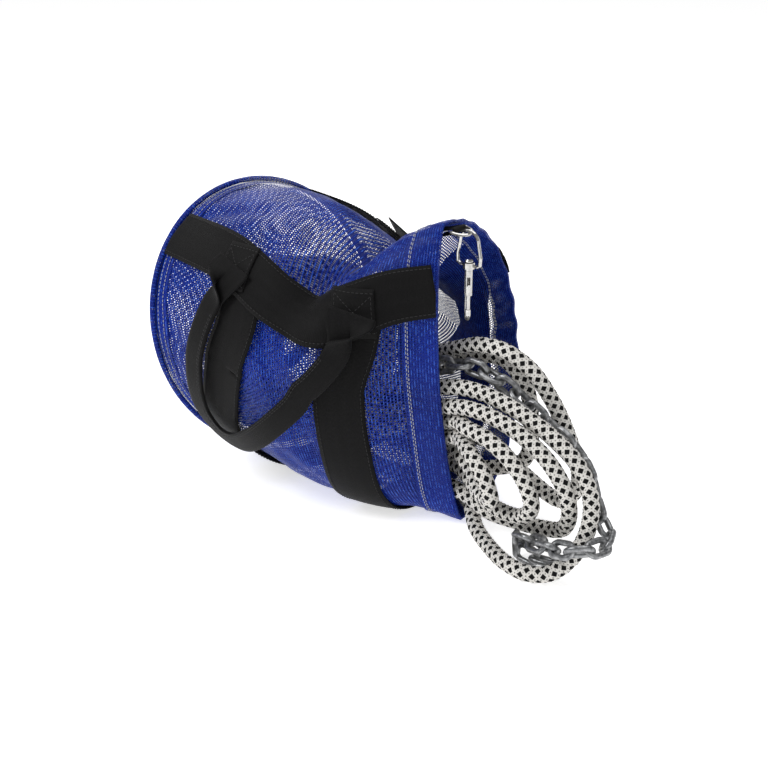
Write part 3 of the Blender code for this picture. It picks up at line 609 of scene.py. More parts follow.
@dataclass(frozen=True)
class BagSkin:
    """The bag's outer skin, named by along (0 base, 1 mouth) and around (0 far, 90 deg top)."""

    sections: tuple = (
        (0.00, -0.1307, 0.007, 0.141, 0.141, 0.0070, 0.284, 14.0, -9.0, 1.00, 1.00, 1.00, 0.000),
        (0.30, -0.0437, -0.003, 0.137, 0.137, 0.0046, 0.299, 11.0, -6.0, 1.00, 1.00, 0.86, 0.016),
        (0.55, 0.0263, -0.013, 0.122, 0.125, 0.0042, 0.298, 9.0, -3.0, 1.00, 1.00, 0.76, 0.030),
        (0.75, 0.0833, -0.023, 0.087, 0.118, 0.0042, 0.290, 7.0, 0.0, 1.00, 1.00, 0.76, 0.020),
        (1.00, 0.1553, -0.029, 0.022, 0.108, 0.0052, 0.311, 5.3, 0.0, 1.20, 0.92, 1.00, 0.000),
    )
    buckles: tuple = (
        Buckle(0.038, 0.68, -0.06, 0.095, 98.0, 31.0),
        Buckle(0.024, 0.70, -0.10, 0.080, 138.0, 22.0),
        Buckle(0.020, 0.70, 0.0, 0.095, 70.0, 30.0),
    )
    floor_gap: float = 0.0016
    floor_rounding: float = 0.002
    creases: tuple = (
        Crease((0.03, 168.0), (0.30, 196.0), 0.0034, 0.030),
        Crease((0.05, 205.0), (0.34, 232.0), 0.0030, 0.034),
        Crease((0.10, 236.0), (0.42, 252.0), 0.0028, 0.030),
        Crease((0.46, 158.0), (0.62, 204.0), 0.0040, 0.034),
        Crease((0.50, 214.0), (0.64, 246.0), 0.0030, 0.030),
        Crease((0.84, 160.0), (0.93, 226.0), 0.0026, 0.030),
        Crease((0.88, 236.0), (0.80, 262.0), 0.0020, 0.026),
        Crease((0.06, 92.0), (0.40, 74.0), 0.0034, 0.040),
        Crease((0.10, 60.0), (0.46, 66.0), 0.0028, 0.036),
        Crease((0.52, 96.0), (0.66, 70.0), 0.0036, 0.034),
        Crease((0.72, 108.0), (0.92, 92.0), 0.0030, 0.030),
        Crease((0.10, 20.0), (0.40, 6.0), 0.0034, 0.036),
        Crease((0.30, 340.0), (0.60, 322.0), 0.0034, 0.040),
        Crease((0.60, 18.0), (0.86, 2.0), 0.0030, 0.032),
        Crease((0.04, 120.0), (0.34, 112.0), 0.0026, 0.030),
    )
    pleats: int = 34
    pleat_depth: float = 0.0024

    def base(self, along: Array, around: Array) -> Array:
        """Returns points of the smooth skin.

        Each section is an ellipse in four quarters, its far shoulder drooped, pulled in by
        the buckles, leant back and turned; a soft floor keeps it off the ground.

        Args:
            along: 0 at the base rim to 1 at the mouth rim.
            around: angle from the far side over the top.
        """
        table = np.array(self.sections)
        row = [smooth_curve(table[:, 0], table[:, column], along) for column in range(1, 13)]
        mid_x, mid_y, near, far, low, high, lean, turn, near_round, far_round, low_round, droop = row
        across, up = np.cos(around), np.sin(around)
        power = np.where(across < 0, near_round, far_round) * np.where(up < 0, low_round, 1.0)
        side = np.sign(across) * np.abs(across)**power * np.where(across < 0, near, far)
        rise = np.sign(up) * np.abs(up)**power * (high - low) / 2
        rise = rise - np.where((across > 0) & (up > 0), droop * np.sin(2 * around), 0.0)
        for dent in self.buckles:
            past = (along - (dent.place + dent.drift * (around - math.pi / 2))) / dent.half_along
            turned = (around - math.radians(dent.middle_deg)) / math.radians(dent.half_around_deg)
            pull = dent.depth * np.exp(-past**2 - turned**2)
            reach = np.hypot(side, rise) + 1e-9
            side, rise = side * (1 - pull / reach), rise * (1 - pull / reach)
        x = mid_x - rise * np.tan(np.radians(lean)) - side * np.tan(np.radians(turn))
        above = rise + (high + low) / 2 - self.floor_gap
        z = self.floor_gap + 0.5 * (above + np.sqrt(above**2 + self.floor_rounding**2))
        return np.stack([x, mid_y + side, z], axis=-1)

    def slopes(self, along: Array, around: Array, step: float = 1e-4) -> tuple[Array, Array, Array, Array]:
        """Returns the point, the outward normal and the slopes along and around."""
        slope_along = (self.base(along + step, around) - self.base(along - step, around)) / (2 * step)
        slope_around = (self.base(along, around + step) - self.base(along, around - step)) / (2 * step)
        return self.base(along, around), unit(np.cross(slope_around, slope_along)), slope_along, slope_around

    def at(self, along: Array, around: Array, out: Array | float = 0.0) -> Array:
        """Returns points at a height out above the skin."""
        along, around, out = np.broadcast_arrays(*(np.asarray(a, float) for a in (along, around, out)))
        point, normal, _, _ = self.slopes(along, around % TURN)
        return point + normal * out[..., None]

    def sink(self, along: Array, around: Array) -> Array:
        """Returns how deep the loose mesh sinks below the smooth skin, never above it.

        Each crease is a bell across the distance to its line, ending softly past its ends;
        the pleats are a cosine round the mouth, strongest on the far side. All of it fades
        out at the base seam, where the cloth is held.
        """
        degrees = np.degrees(around % TURN)
        total = np.zeros(np.broadcast(along, around).shape)
        for fold in self.creases:
            start, end = (np.array([spot[0] * 0.30, math.radians(spot[1]) * 0.141])
                          for spot in (fold.start, fold.end))
            way = end - start
            length = math.hypot(*way)
            far_x = along * 0.30 - start[0]
            far_y = np.radians((degrees - fold.start[1] + 180.0) % 360.0 - 180.0) * 0.141
            share = (far_x * way[0] + far_y * way[1]) / length**2
            off = (far_x * way[1] - far_y * way[0]) / length
            past = np.maximum(np.abs(share - 0.5) - 0.5, 0.0) * length
            total = total + fold.depth * np.exp(-(off / (fold.width * 0.42))**2 - (past / 0.016)**2)
            total = total + 0.35 * fold.depth * np.exp(-((off - fold.width) / (fold.width * 0.5))**2
                                                       - (past / 0.016)**2)
        far_side = 0.5 + 0.5 * np.cos(around)
        wander = 0.5 * np.sin(3.0 * around + 1.0) + 0.4 * np.sin(5.0 * around)
        wave = 0.5 - 0.5 * np.cos(self.pleats * around + 3.0 * wander)
        ramp = ease((along - 0.55) / 0.45)
        total = total + self.pleat_depth * wave * far_side**1.5 * ramp
        ripple = np.sin(along * 25.2 + 7.0 * around) * np.sin(along * 31.0 - 5.0 * around)
        return (total + 0.0004 * (1.0 + ripple)) * ease((along - 0.004) / 0.07)


SKIN = BagSkin()


# ------------------------------------------------------------------ camera and light
@dataclass
class Studio:
    """Camera, soft lights and the pale floor."""

    camera_place: tuple[float, float, float] = (0.92474, -1.05165, 0.7195)
    camera_turn_deg: tuple[float, float, float] = (66.0, 0.0, 40.0)
    lens: float = 67.5
    floor_size: float = 12.0
    floor_colour: Colour = (0.90, 0.90, 0.90)
    floor_glow: float = 0.62

    def build(self) -> None:
        """Sets up everything that isn't part of the object."""
        self.camera()
        self.floor()
        self.world()
        self.light("key", (-0.55, -1.25, 1.60), 0.9, 21.0, (0.05, -0.02, 0.12))
        self.light("fill", (1.70, -0.55, 0.95), 1.3, 3.5, (0.05, 0.0, 0.12))
        self.light("top", (0.10, 0.45, 1.90), 1.4, 13.0, (0.05, 0.0, 0.10))
        self.light("rear", (-1.30, 1.00, 1.00), 1.2, 5.0, (0.0, 0.0, 0.12))

    def camera(self) -> None:
        """Makes the camera and hands it to the scene."""
        data = bpy.data.cameras.new("camera")
        data.lens = self.lens
        data.sensor_width = 36.0
        camera = bpy.data.objects.new("camera", data)
        camera.location = self.camera_place
        camera.rotation_euler = Euler([math.radians(angle) for angle in self.camera_turn_deg])
        bpy.context.scene.collection.objects.link(camera)
        bpy.context.scene.camera = camera

    def floor(self) -> None:
        """Makes the floor: a flat square with a faint mottle."""
        half = self.floor_size / 2
        spread = np.linspace(-half, half, 9)
        grid = np.stack(np.broadcast_arrays(spread[None, :], spread[:, None], np.zeros((1, 1))), axis=-1)
        mesh = fill_mesh("floor", grid, grid_faces(9, 9, False, False)[:, ::-1])
        made, graph, shader = new_material("studio floor")
        place = graph.add("ShaderNodeTexCoord").outputs["Object"]
        tone = graph.noise(place, 3.0)
        lighter = tuple(part * 1.01 for part in self.floor_colour)
        graph.tree.links.new(graph.mix(tone, self.floor_colour, lighter), shader.inputs["Base Color"])
        shader.inputs["Roughness"].default_value = 0.9
        shader.inputs["Specular IOR Level"].default_value = 0.1
        shader.inputs["Emission Color"].default_value = (1.0, 1.0, 1.0, 1.0)
        shader.inputs["Emission Strength"].default_value = self.floor_glow
        mesh.materials.append(made)
        floor = bpy.data.objects.new("floor", mesh)
        bpy.context.scene.collection.objects.link(floor)

    def world(self) -> None:
        """Makes the surroundings an even white."""
        world = bpy.data.worlds.new("studio")
        world.use_nodes = True
        world.node_tree.nodes["Background"].inputs["Color"].default_value = (1.0, 1.0, 1.0, 1.0)
        world.node_tree.nodes["Background"].inputs["Strength"].default_value = 0.36
        bpy.context.scene.world = world
        bpy.context.scene.view_settings.view_transform = "Standard"

    def light(self, name: str, place: Sequence[float], size: float, power: float,
              aim: Sequence[float]) -> None:
        """Adds a square soft light that faces a point."""
        data = bpy.data.lights.new(name, "AREA")
        data.size = size
        data.energy = power
        light = bpy.data.objects.new(name, data)
        light.location = place
        back = unit(np.array(place) - np.array(aim))
        light.rotation_euler = Euler((math.acos(back[2]), 0.0, math.atan2(back[1], back[0]) + math.pi / 2))
        bpy.context.scene.collection.objects.link(light)


# ------------------------------------------------------------------ rope and chain
ROPE_ROUTE = (
    (-0.0027, 0.077, 0.148), (0.0563, 0.051, 0.152), (0.1063, 0.009, 0.160), (0.1373, -0.003, 0.175),
    (0.1673, -0.004, 0.187), (0.1973, -0.002, 0.187), (0.2203, 0.003, 0.175), (0.2413, 0.010, 0.148),
    (0.2593, 0.016, 0.112), (0.2693, 0.025, 0.060), (0.2443, 0.036, 0.026), (0.1953, 0.038, 0.040),
    (0.1593, 0.034, 0.064), (0.1053, 0.040, 0.058), (0.0513, 0.052, 0.076), (0.0733, 0.037, 0.115),
    (0.1233, 0.015, 0.150), (0.1533, 0.013, 0.167), (0.1853, 0.014, 0.170), (0.2063, 0.017, 0.150),
    (0.2133, 0.021, 0.110), (0.2013, 0.027, 0.060), (0.1593, 0.012, 0.044), (0.0913, 0.016, 0.034),
    (0.0313, 0.005, 0.052), (0.0333, -0.037, 0.100), (0.0913, -0.041, 0.134), (0.1433, -0.034, 0.146),
    (0.1733, -0.032, 0.152), (0.2073, -0.032, 0.151), (0.2423, -0.032, 0.143), (0.2763, -0.033, 0.130),
    (0.3043, -0.034, 0.112), (0.3203, -0.036, 0.086), (0.3233, -0.042, 0.056), (0.3153, -0.054, 0.028),
    (0.3003, -0.069, 0.012), (0.2813, -0.077, 0.009), (0.2553, -0.074, 0.009), (0.2273, -0.061, 0.009),
    (0.1973, -0.043, 0.012), (0.1653, -0.015, 0.022), (0.1113, -0.005, 0.020), (0.0633, -0.033, 0.034),
    (0.0513, -0.069, 0.074), (0.0973, -0.053, 0.112), (0.1523, -0.039, 0.129), (0.1853, -0.043, 0.138),
    (0.2173, -0.044, 0.137), (0.2513, -0.045, 0.128), (0.2813, -0.047, 0.112), (0.3003, -0.047, 0.088),
    (0.3013, -0.041, 0.060), (0.2893, -0.033, 0.040), (0.2633, -0.030, 0.031), (0.2353, -0.032, 0.029),
    (0.2063, -0.035, 0.030), (0.1773, -0.031, 0.036), (0.1313, -0.031, 0.040), (0.0873, -0.053, 0.046),
    (0.0713, -0.081, 0.076), (0.1093, -0.063, 0.102), (0.1533, -0.035, 0.112), (0.1693, -0.039, 0.118),
    (0.1873, -0.050, 0.121), (0.2163, -0.057, 0.121), (0.2443, -0.060, 0.110), (0.2653, -0.061, 0.090),
    (0.2713, -0.059, 0.068), (0.2573, -0.053, 0.051), (0.2293, -0.048, 0.045), (0.1993, -0.039, 0.047),
    (0.1673, -0.021, 0.054), (0.1133, -0.001, 0.050), (0.0713, 0.013, 0.052), (0.0533, -0.015, 0.066),
    (0.0713, -0.041, 0.086), (0.1133, -0.044, 0.093), (0.1543, -0.035, 0.095), (0.1693, -0.038, 0.101),
    (0.1863, -0.052, 0.104), (0.2073, -0.066, 0.102), (0.2273, -0.073, 0.088), (0.2323, -0.070, 0.067),
    (0.2133, -0.057, 0.061), (0.1873, -0.038, 0.069), (0.1513, -0.019, 0.076), (0.1013, 0.009, 0.076),
)
CHAIN_ROUTE = (
    (0.0513, 0.015, 0.112), (0.0813, -0.003, 0.142), (0.1303, -0.020, 0.161), (0.1613, -0.017, 0.168),
    (0.1983, -0.014, 0.161), (0.2303, -0.009, 0.142), (0.2573, -0.007, 0.125), (0.2853, -0.009, 0.110),
    (0.3013, -0.010, 0.090), (0.3153, -0.016, 0.064), (0.3403, -0.034, 0.047), (0.3423, -0.051, 0.048),
    (0.3303, -0.069, 0.047), (0.3053, -0.069, 0.041), (0.2773, -0.060, 0.032), (0.2553, -0.053, 0.026),
    (0.2503, -0.050, 0.014), (0.2693, -0.052, 0.011), (0.2993, -0.047, 0.011),
)


@dataclass
class Rope:
    """The rope: one length, put away in a coil against the base and run out of the mouth."""

    diameter: float = 0.016
    coil_radius: float = 0.0747
    coil_layers: int = 3
    coil_rows: int = 6
    coil_offset: float = 0.062
    coil_lift: float = 0.121
    coil_spacing: float = 0.011
    sides: int = 24
    cover: RopeCover = field(default_factory=RopeCover)
    relief: float = 0.00040
    length: float = 12.2

    def axis(self) -> Array:
        """Returns the direction of the coil's axis, square to the base."""
        lean, turn = np.radians(SKIN.sections[0][7:9])
        return unit(np.array([1.0, math.tan(turn), math.tan(lean)]))

    def coil_middle(self) -> Array:
        """Returns the middle of the coil, which leans on the base."""
        flat = np.array(SKIN.sections[0][1:3]) + self.axis()[:2] * self.coil_offset
        return np.array([*flat, self.coil_lift])

    def coil_line(self) -> Array:
        """Returns the coil's middle line.

        Each layer is a helix of six turns; its first and last half turn stay at the end rows.
        The layers run forward and back in turn, and the radius grows by a diameter between
        them over a sixth of a turn. Before the first layer the line spirals out to it.
        """
        axis = self.axis()
        side = unit(np.cross(axis, np.array([0.0, 0.0, 1.0])))
        lift = np.cross(side, axis)
        turns = self.coil_layers * self.coil_rows
        lead = 0.55
        at = np.arange(-lead, turns + 1e-6, 0.015)
        layer = np.clip(np.floor(at / self.coil_rows), 0, self.coil_layers - 1)
        inside = at - layer * self.coil_rows
        forward = np.clip((inside - 0.5) / (self.coil_rows - 1), 0.0, 1.0) * 2.0 - 1.0
        half = (self.coil_rows - 1) * self.diameter / 2
        reach = forward * half * np.where(layer % 2 == 0, 1.0, -1.0)
        joined = ease((inside + 1.0 / 12.0) * 6.0)
        start = self.coil_radius - (self.coil_layers - 1) / 2 * self.diameter
        radius = start + (layer - np.where(layer > 0, 1.0 - joined, 0.0)) * self.diameter
        spiral = ease((at + lead) / lead)
        radius = radius * np.where(at < 0, 0.38 + 0.62 * spiral, 1.0)
        angle = -at * TURN + math.radians(60.0)
        spoke = np.cos(angle)[:, None] * side + np.sin(angle)[:, None] * lift
        return self.coil_middle() + spoke * radius[:, None] + axis * reach[:, None]

    def path(self) -> tuple[Array, int]:
        """Returns the whole middle line, and how many of its first points are coarse."""
        coil = self.coil_line()
        run = run_of(coil)
        keep = run[-1] - 0.10
        coarse = read_line(coil, np.arange(0.0, keep, self.coil_spacing))
        joint = read_line(coil, np.array([keep, keep + 0.04, keep + 0.08]))
        step = self.cover.pick / 2
        fine = smooth_route(np.concatenate([joint, np.array(ROPE_ROUTE)]), step)
        return np.concatenate([coarse, fine[1:]]), len(coarse)

    def build(self) -> bpy.types.Object:
        """Builds the rope; its plait stands out as a lattice of crowns and hollows."""
        path, coarse = self.path()
        ring = np.arange(len(path))[:, None]
        side = np.arange(self.sides)[None, :]
        crowned = np.where((ring - coarse + side) % 2 == 0, -1.0, 1.0) * np.where(ring >= coarse, 1.0, 0.0)
        radius = self.diameter / 2 - self.relief + crowned * self.relief
        mesh = tube_mesh("rope", path, radius, self.sides)
        piece = show("rope", mesh, self.cover.material(), Body.BAG)
        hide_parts("rope_run", "rope_coil")
        length = float(run_of(path)[-1])
        LOG.info("rope length %.3f", length)
        return piece


@dataclass
class Chain:
    """Short-link chain: round wire bent to ovals, each linked a quarter turn from the last."""

    wire: float = 0.006
    width: float = 0.0204
    long: float = 0.0305
    around: int = 30
    sides: int = 10
    first_turn_deg: float = 45.0
    length: float = 0.54
    metal: Metal = Metal("galvanised chain", (0.36, 0.365, 0.37), (0.15, 0.153, 0.16), 0.36, 220.0, 0.0002,
                         0.9, 0.2)

    def link(self) -> tuple[Array, Array]:
        """Returns one link's middle line and its outward directions, flat in x and y.

        The line is an oval of two straights joined by half circles, spaced evenly.
        """
        bend = (self.width - self.wire) / 2
        straight = (self.long - self.wire) / 2 - bend
        quarter = math.pi * bend
        total = 2 * quarter + 4 * straight
        at = np.arange(self.around) * total / self.around
        first = at < quarter
        second = (at >= quarter) & (at < quarter + 2 * straight)
        third = (at >= quarter + 2 * straight) & (at < 2 * quarter + 2 * straight)
        angle = np.select([first, second, third], [at / bend - math.pi / 2, math.pi / 2,
                                                   (at - 2 * straight) / bend - math.pi / 2], -math.pi / 2)
        out = np.stack([np.cos(angle), np.sin(angle)], axis=1)
        slide = np.select([first, second, third],
                          [straight, straight - (at - quarter), -straight],
                          -straight + (at - 2 * quarter - 2 * straight))
        line = out * bend + np.stack([slide, 0 * slide], axis=1)
        return line, out

    def build(self) -> bpy.types.Object:
        """Builds every link at once: oval + wire ring, placed in its own frame on the path."""
        path = smooth_route(CHAIN_ROUTE, 0.002)
        run = run_of(path)
        pitch = self.long - 2 * self.wire
        count = int((run[-1] - self.wire) / pitch)
        at = self.wire + pitch * (np.arange(count) + 0.5)
        middle = read_line(path, at)
        way = unit(read_line(path, at + pitch / 2) - read_line(path, at - pitch / 2))
        _, normal, _ = path_frames(path)
        carried = np.stack([np.interp(at, run, normal[:, axis]) for axis in range(3)], axis=1)
        carried = unit(carried - (carried * way).sum(1, keepdims=True) * way)
        other = np.cross(way, carried)
        angle = np.radians(self.first_turn_deg + 90.0 * np.arange(count))[:, None]
        side = np.cos(angle) * carried + np.sin(angle) * other
        face = np.cross(way, side)
        line, out = self.link()
        turn = np.arange(self.sides) * TURN / self.sides
        radial = np.cos(turn)[None, :, None] * np.pad(out, ((0, 0), (0, 1)))[:, None]
        radial = radial + np.sin(turn)[None, :, None] * np.array([0.0, 0.0, 1.0])
        local = np.pad(line, ((0, 0), (0, 1)))[:, None] + radial * self.wire / 2
        points = (middle[:, None, None] + local[None, ..., 0:1] * way[:, None, None]
                  + local[None, ..., 1:2] * side[:, None, None] + local[None, ..., 2:3] * face[:, None, None])
        faces = grid_faces(self.around, self.sides, True, True)
        each = self.around * self.sides
        faces = (faces[None] + np.arange(count)[:, None, None] * each).reshape(-1, 4)
        mesh = fill_mesh("chain", points, faces)
        piece = show("chain", mesh, self.metal.material(), Body.BAG)
        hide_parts("chain_run")
        return piece


# ------------------------------------------------------------------ stitches
def stitch_mesh(name: str, starts: Array, ends: Array, outward: Array, radius: float,
                rise: float) -> bpy.types.Mesh:
    """Makes many stitches at once, each a short arched thread.

    A stitch is a tube of six rings along start + s (end - start) + rise sin(pi s) outward,
    pinched to nothing at both ends so that it closes.

    Args:
        name: the mesh's name.
        starts: where each stitch comes up.
        ends: where it goes down.
        outward: the cloth's direction at each stitch.
        radius: the thread's radius.
        rise: height of the arch.

    Returns:
        One mesh of all the stitches.
    """
    rings, sides = 6, 6
    share = np.linspace(0.0, 1.0, rings)[None, :, None]
    swell = radius * np.sqrt(np.clip(1.0 - (2.0 * share - 1.0)**4, 0.004, 1.0))
    way = unit(ends - starts)
    flank = unit(np.cross(outward, way))
    bulge = rise * np.sin(math.pi * share) * outward[:, None]
    line = starts[:, None] + share * (ends - starts)[:, None] + bulge
    turn = np.arange(sides) * TURN / sides
    spoke = (np.cos(turn)[None, None, :, None] * flank[:, None, None]
             + np.sin(turn)[None, None, :, None] * outward[:, None, None])
    points = line[:, :, None] + spoke * swell[..., None]
    count, each = len(starts), rings * sides
    faces = grid_faces(rings, sides, False, True)[:, ::-1]
    faces = (faces[None] + np.arange(count)[:, None, None] * each).reshape(-1, 4)
    first = np.arange(sides)[None] + np.arange(count)[:, None] * each
    caps = [*first, *(first[:, ::-1] + each - sides)]
    return fill_mesh(name, points, faces, rings=caps)


def stitches_along(line: Array, outward: Array, pitch: float, long: float) -> tuple[Array, Array, Array]:
    """Cuts a sewn line into stitches.

    Args:
        line: the seam's points.
        outward: the cloth's direction at each point.
        pitch: distance from stitch to stitch.
        long: length of each stitch.

    Returns:
        Starts, ends and outward directions.
    """
    run = run_of(line)
    count = max(1, int(run[-1] / pitch))
    at = (np.arange(count) + 0.5) * run[-1] / count
    lean = np.stack([np.interp(at, run, outward[:, axis]) for axis in range(3)], axis=1)
    return read_line(line, at - long / 2), read_line(line, at + long / 2), unit(lean)


@dataclass
class Seams:
    """All the bag's sewing, gathered by body and thread and built as a few pieces."""

    radius: float = 0.00036
    pitch: float = 0.0042
    long: float = 0.0033
    rise: float = 0.00022
    pale: Thread = field(default_factory=Thread)
    dark: Thread = Thread("dark thread", (0.014, 0.014, 0.015))
    rows: dict = field(default_factory=dict)

    def sew(self, name: str, line: Array, outward: Array) -> None:
        """Adds one sewn line to the piece of that name."""
        self.rows.setdefault(name, []).append(stitches_along(line, outward, self.pitch, self.long))

    def build(self) -> None:
        """Builds every piece of sewing that was gathered."""
        finishes = {"pale": self.pale.material(), "dark": self.dark.material()}
        for name, rows in self.rows.items():
            tone, place = name.split(".")
            body = {"near_handle": Body.NEAR_HANDLE, "far_handle": Body.FAR_HANDLE}.get(place, Body.BAG)
            starts, ends, outward = (np.concatenate(part) for part in zip(*rows))
            mesh = stitch_mesh(f"stitches_{tone}_{place}", starts, ends, outward, self.radius, self.rise)
            show(mesh.name, mesh, finishes[tone], body)


# ------------------------------------------------------------------ the mesh barrel
@dataclass
class Barrel:
    """The mesh bag: side, base, piping, the doubled band beside it and the mouth hem."""

    seams: Seams
    fabric: bpy.types.Material
    doubled: bpy.types.Material
    wall: float = 0.0012
    piping_radius: float = 0.0030
    gap: float = 0.0003
    mean_radius: float = 0.141
    skin_length: float = 0.30
    band_width: float = 0.017
    band_out: float = 0.0007
    hem_depth: float = 0.032
    hem_out: float = 0.0020
    rim: float = 0.994
    along_steps: int = 130
    around_steps: int = 330

    def build(self) -> None:
        """Builds every mesh piece."""
        self.side()
        self.base()
        self.piping()
        self.base_band()
        self.hem()

    def around(self, steps: int) -> Array:
        """Returns angles once round, first one not repeated."""
        return np.arange(steps) * TURN / steps

    def cloth_uv(self, along: Array, steps: int) -> Array:
        """Returns the cloth's map in metres: length along the bag and width round it."""
        width = np.linspace(0.0, TURN * self.mean_radius, steps + 1)
        return corner_uv(along[:, None] * self.skin_length, width[None, :])

    def side(self) -> None:
        """Side: the skin sunk by its creases and pleats, as one sheet from base to mouth."""
        along = np.linspace(0.0, self.rim, self.along_steps)
        around = self.around(self.around_steps)
        across, turned = np.broadcast_arrays(along[:, None], around[None, :])
        grid = SKIN.at(across, turned, -SKIN.sink(across, turned) - 0.0002)
        mesh = fill_mesh("mesh_side", grid, grid_faces(*grid.shape[:2], False, True),
                         self.cloth_uv(along, self.around_steps))
        piece = show("mesh_side", mesh, self.fabric, Body.BAG)
        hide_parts("side_panel")

    def base(self) -> None:
        """Base: a mesh disc, its rim on the skin and its middle pushed out a little by the coil."""
        around = self.around(96)
        share = np.linspace(0.0, 1.0, 26)
        rim = SKIN.at(0.006, around, -(self.wall + self.gap + self.wall))
        middle = rim.mean(axis=0)
        lean = unit(np.cross(rim[24] - middle, rim[0] - middle))
        bulge = -0.0026 * (1.0 - share**2)[:, None, None] * np.sign(lean[0]) * lean
        spread = np.maximum(share, 0.004)[:, None, None]
        grid = middle + (rim - middle)[None] * spread + bulge
        flat = spread[..., 0] * self.mean_radius
        uv = corner_uv(flat * np.cos(np.append(around, TURN)), flat * np.sin(np.append(around, TURN)))
        faces = grid_faces(26, 96, False, True)
        mesh = fill_mesh("mesh_base", grid, faces, uv, (np.arange(96)[::-1],))
        piece = show("mesh_base", mesh, self.fabric, Body.BAG)
        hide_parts("base_panel")

    def piping(self) -> None:
        """Piping: a cord wrapped in mesh, slightly uneven, round the base seam."""
        around = np.append(self.around(200), TURN)
        line = SKIN.at(0.0, around, self.piping_radius + self.gap)
        _, normal, along, _ = SKIN.slopes(0.0 * around, around)
        back = unit(along)
        turn = self.around(14)
        lumps = 1.0 - 0.05 * (0.5 + 0.5 * np.sin(41.0 * around)) * (0.5 + 0.5 * np.sin(17.0 * around))
        spoke = np.cos(turn)[None, :, None] * normal[:, None] - np.sin(turn)[None, :, None] * back[:, None]
        grid = line[:, None] + spoke * (self.piping_radius * lumps)[:, None, None]
        girth = np.linspace(0, TURN * self.piping_radius, 15)[None]
        uv = corner_uv((around * self.mean_radius)[:, None], girth)
        mesh = fill_mesh("piping", grid[:-1], grid_faces(200, 14, True, True)[:, ::-1], uv)
        piece = show("piping", mesh, self.doubled, Body.BAG)
        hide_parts("base_piping")

    def base_band(self) -> None:
        """Doubled mesh beside the piping, held by two rows of pale stitching."""
        along = np.linspace(0.002, self.band_width / self.skin_length, 7)
        across, turned = np.broadcast_arrays(along[:, None], self.around(self.around_steps)[None, :])
        edge = np.array([0.35, 1.0, 1.0, 1.0, 1.0, 1.0, 0.35])[:, None]
        grid = SKIN.at(across, turned, self.band_out * edge - SKIN.sink(across, turned) * 0.6)
        mesh = fill_mesh("base_band", grid, grid_faces(*grid.shape[:2], False, True),
                         self.cloth_uv(along + 0.004, self.around_steps))
        show("base_band", mesh, self.doubled, Body.BAG)
        around = np.append(self.around(400), TURN)
        for depth in (0.0060, 0.0125):
            place = depth / self.skin_length + 0.0 * around
            lift = self.band_out + 0.0002 - SKIN.sink(place, around) * 0.6
            _, normal, _, _ = SKIN.slopes(place, around)
            self.seams.sew("pale.base", SKIN.at(place, around, lift), normal)

    def hem(self) -> None:
        """Hem: mesh folded over the rim, outside and in, with two rows of pale stitching."""
        around = self.around(self.around_steps)
        _, _, slope, _ = SKIN.slopes(np.ones_like(around), around)
        start = self.rim - self.hem_depth / np.linalg.norm(slope, axis=1)
        share = np.concatenate([np.linspace(0.0, 1.0, 12), [1.0, 1.0, 1.0], np.linspace(1.0, 0.0, 12)])
        out = np.concatenate([np.full(12, 1.0), [0.6, 0.0, -0.6], np.full(12, -1.0)])
        nose = np.concatenate([np.zeros(11), [0.0006, 0.0016, 0.0021, 0.0016, 0.0006], np.zeros(11)])
        along = start[None, :] + share[:, None] * (self.rim - start)[None, :]
        turned = np.broadcast_to(around[None, :], along.shape)
        lift = np.where(out > 0, out * self.hem_out, out * 0.0013)[:, None] - SKIN.sink(along, turned)
        push = unit(slope)[None] * nose[:, None, None]
        grid = SKIN.at(along, turned, lift) + push
        length = np.cumsum(np.full(len(share), self.hem_depth / 11))
        girth = np.linspace(0.0, TURN * self.mean_radius * 0.86, self.around_steps + 1)[None]
        uv = corner_uv(length[:, None], girth)
        mesh = fill_mesh("hem", grid, grid_faces(*grid.shape[:2], False, True), uv)
        piece = show("hem", mesh, self.doubled, Body.BAG)
        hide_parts("mouth_hem")
        loop = np.append(self.around(420), TURN)
        _, _, slope, _ = SKIN.slopes(np.ones_like(loop), loop)
        for depth in (self.hem_depth - 0.0035, self.hem_depth - 0.0052):
            place = self.rim - depth / np.linalg.norm(slope, axis=1)
            _, normal, _, _ = SKIN.slopes(place, loop)
            level = SKIN.sink(place, loop)
            self.seams.sew("pale.hem", SKIN.at(place, loop, self.hem_out + 0.0002 - level), normal)
            self.seams.sew("pale.hem", SKIN.at(place, loop, -0.0016 - level), -normal)


# ------------------------------------------------------------------ webbing
STRAP_LINE = ((0.018, 131.5), (0.15, 134.5), (0.30, 138.0), (0.42, 142.5), (0.54, 149.0), (0.64, 152.0),
              (0.74, 148.0), (0.86, 140.5), (0.992, 138.5))
BAND_LINES = {
    "rear": ((0.405, 141.0), (0.395, 162.0), (0.345, 176.0), (0.285, 190.0), (0.215, 208.0), (0.185, 230.0),
             (0.210, 270.0), (0.320, 330.0), (0.400, 399.0)),
    "front": ((0.785, 141.0), (0.775, 160.0), (0.735, 180.0), (0.725, 205.0), (0.705, 235.0),
              (0.700, 270.0), (0.740, 330.0), (0.785, 399.0)),
}
HANDLE_LINE = ((0.370, 141.0, 0.0115), (0.335, 151.0, 0.0110), (0.285, 164.0, 0.0120), (0.238, 177.0, 0.0130),
               (0.200, 190.0, 0.0130), (0.190, 201.0, 0.0130), (0.225, 209.0, 0.0130), (0.310, 209.0, 0.0140),
               (0.425, 201.0, 0.0150), (0.550, 189.0, 0.0160), (0.675, 176.0, 0.0170), (0.755, 161.0, 0.0180),
               (0.780, 147.0, 0.0175))


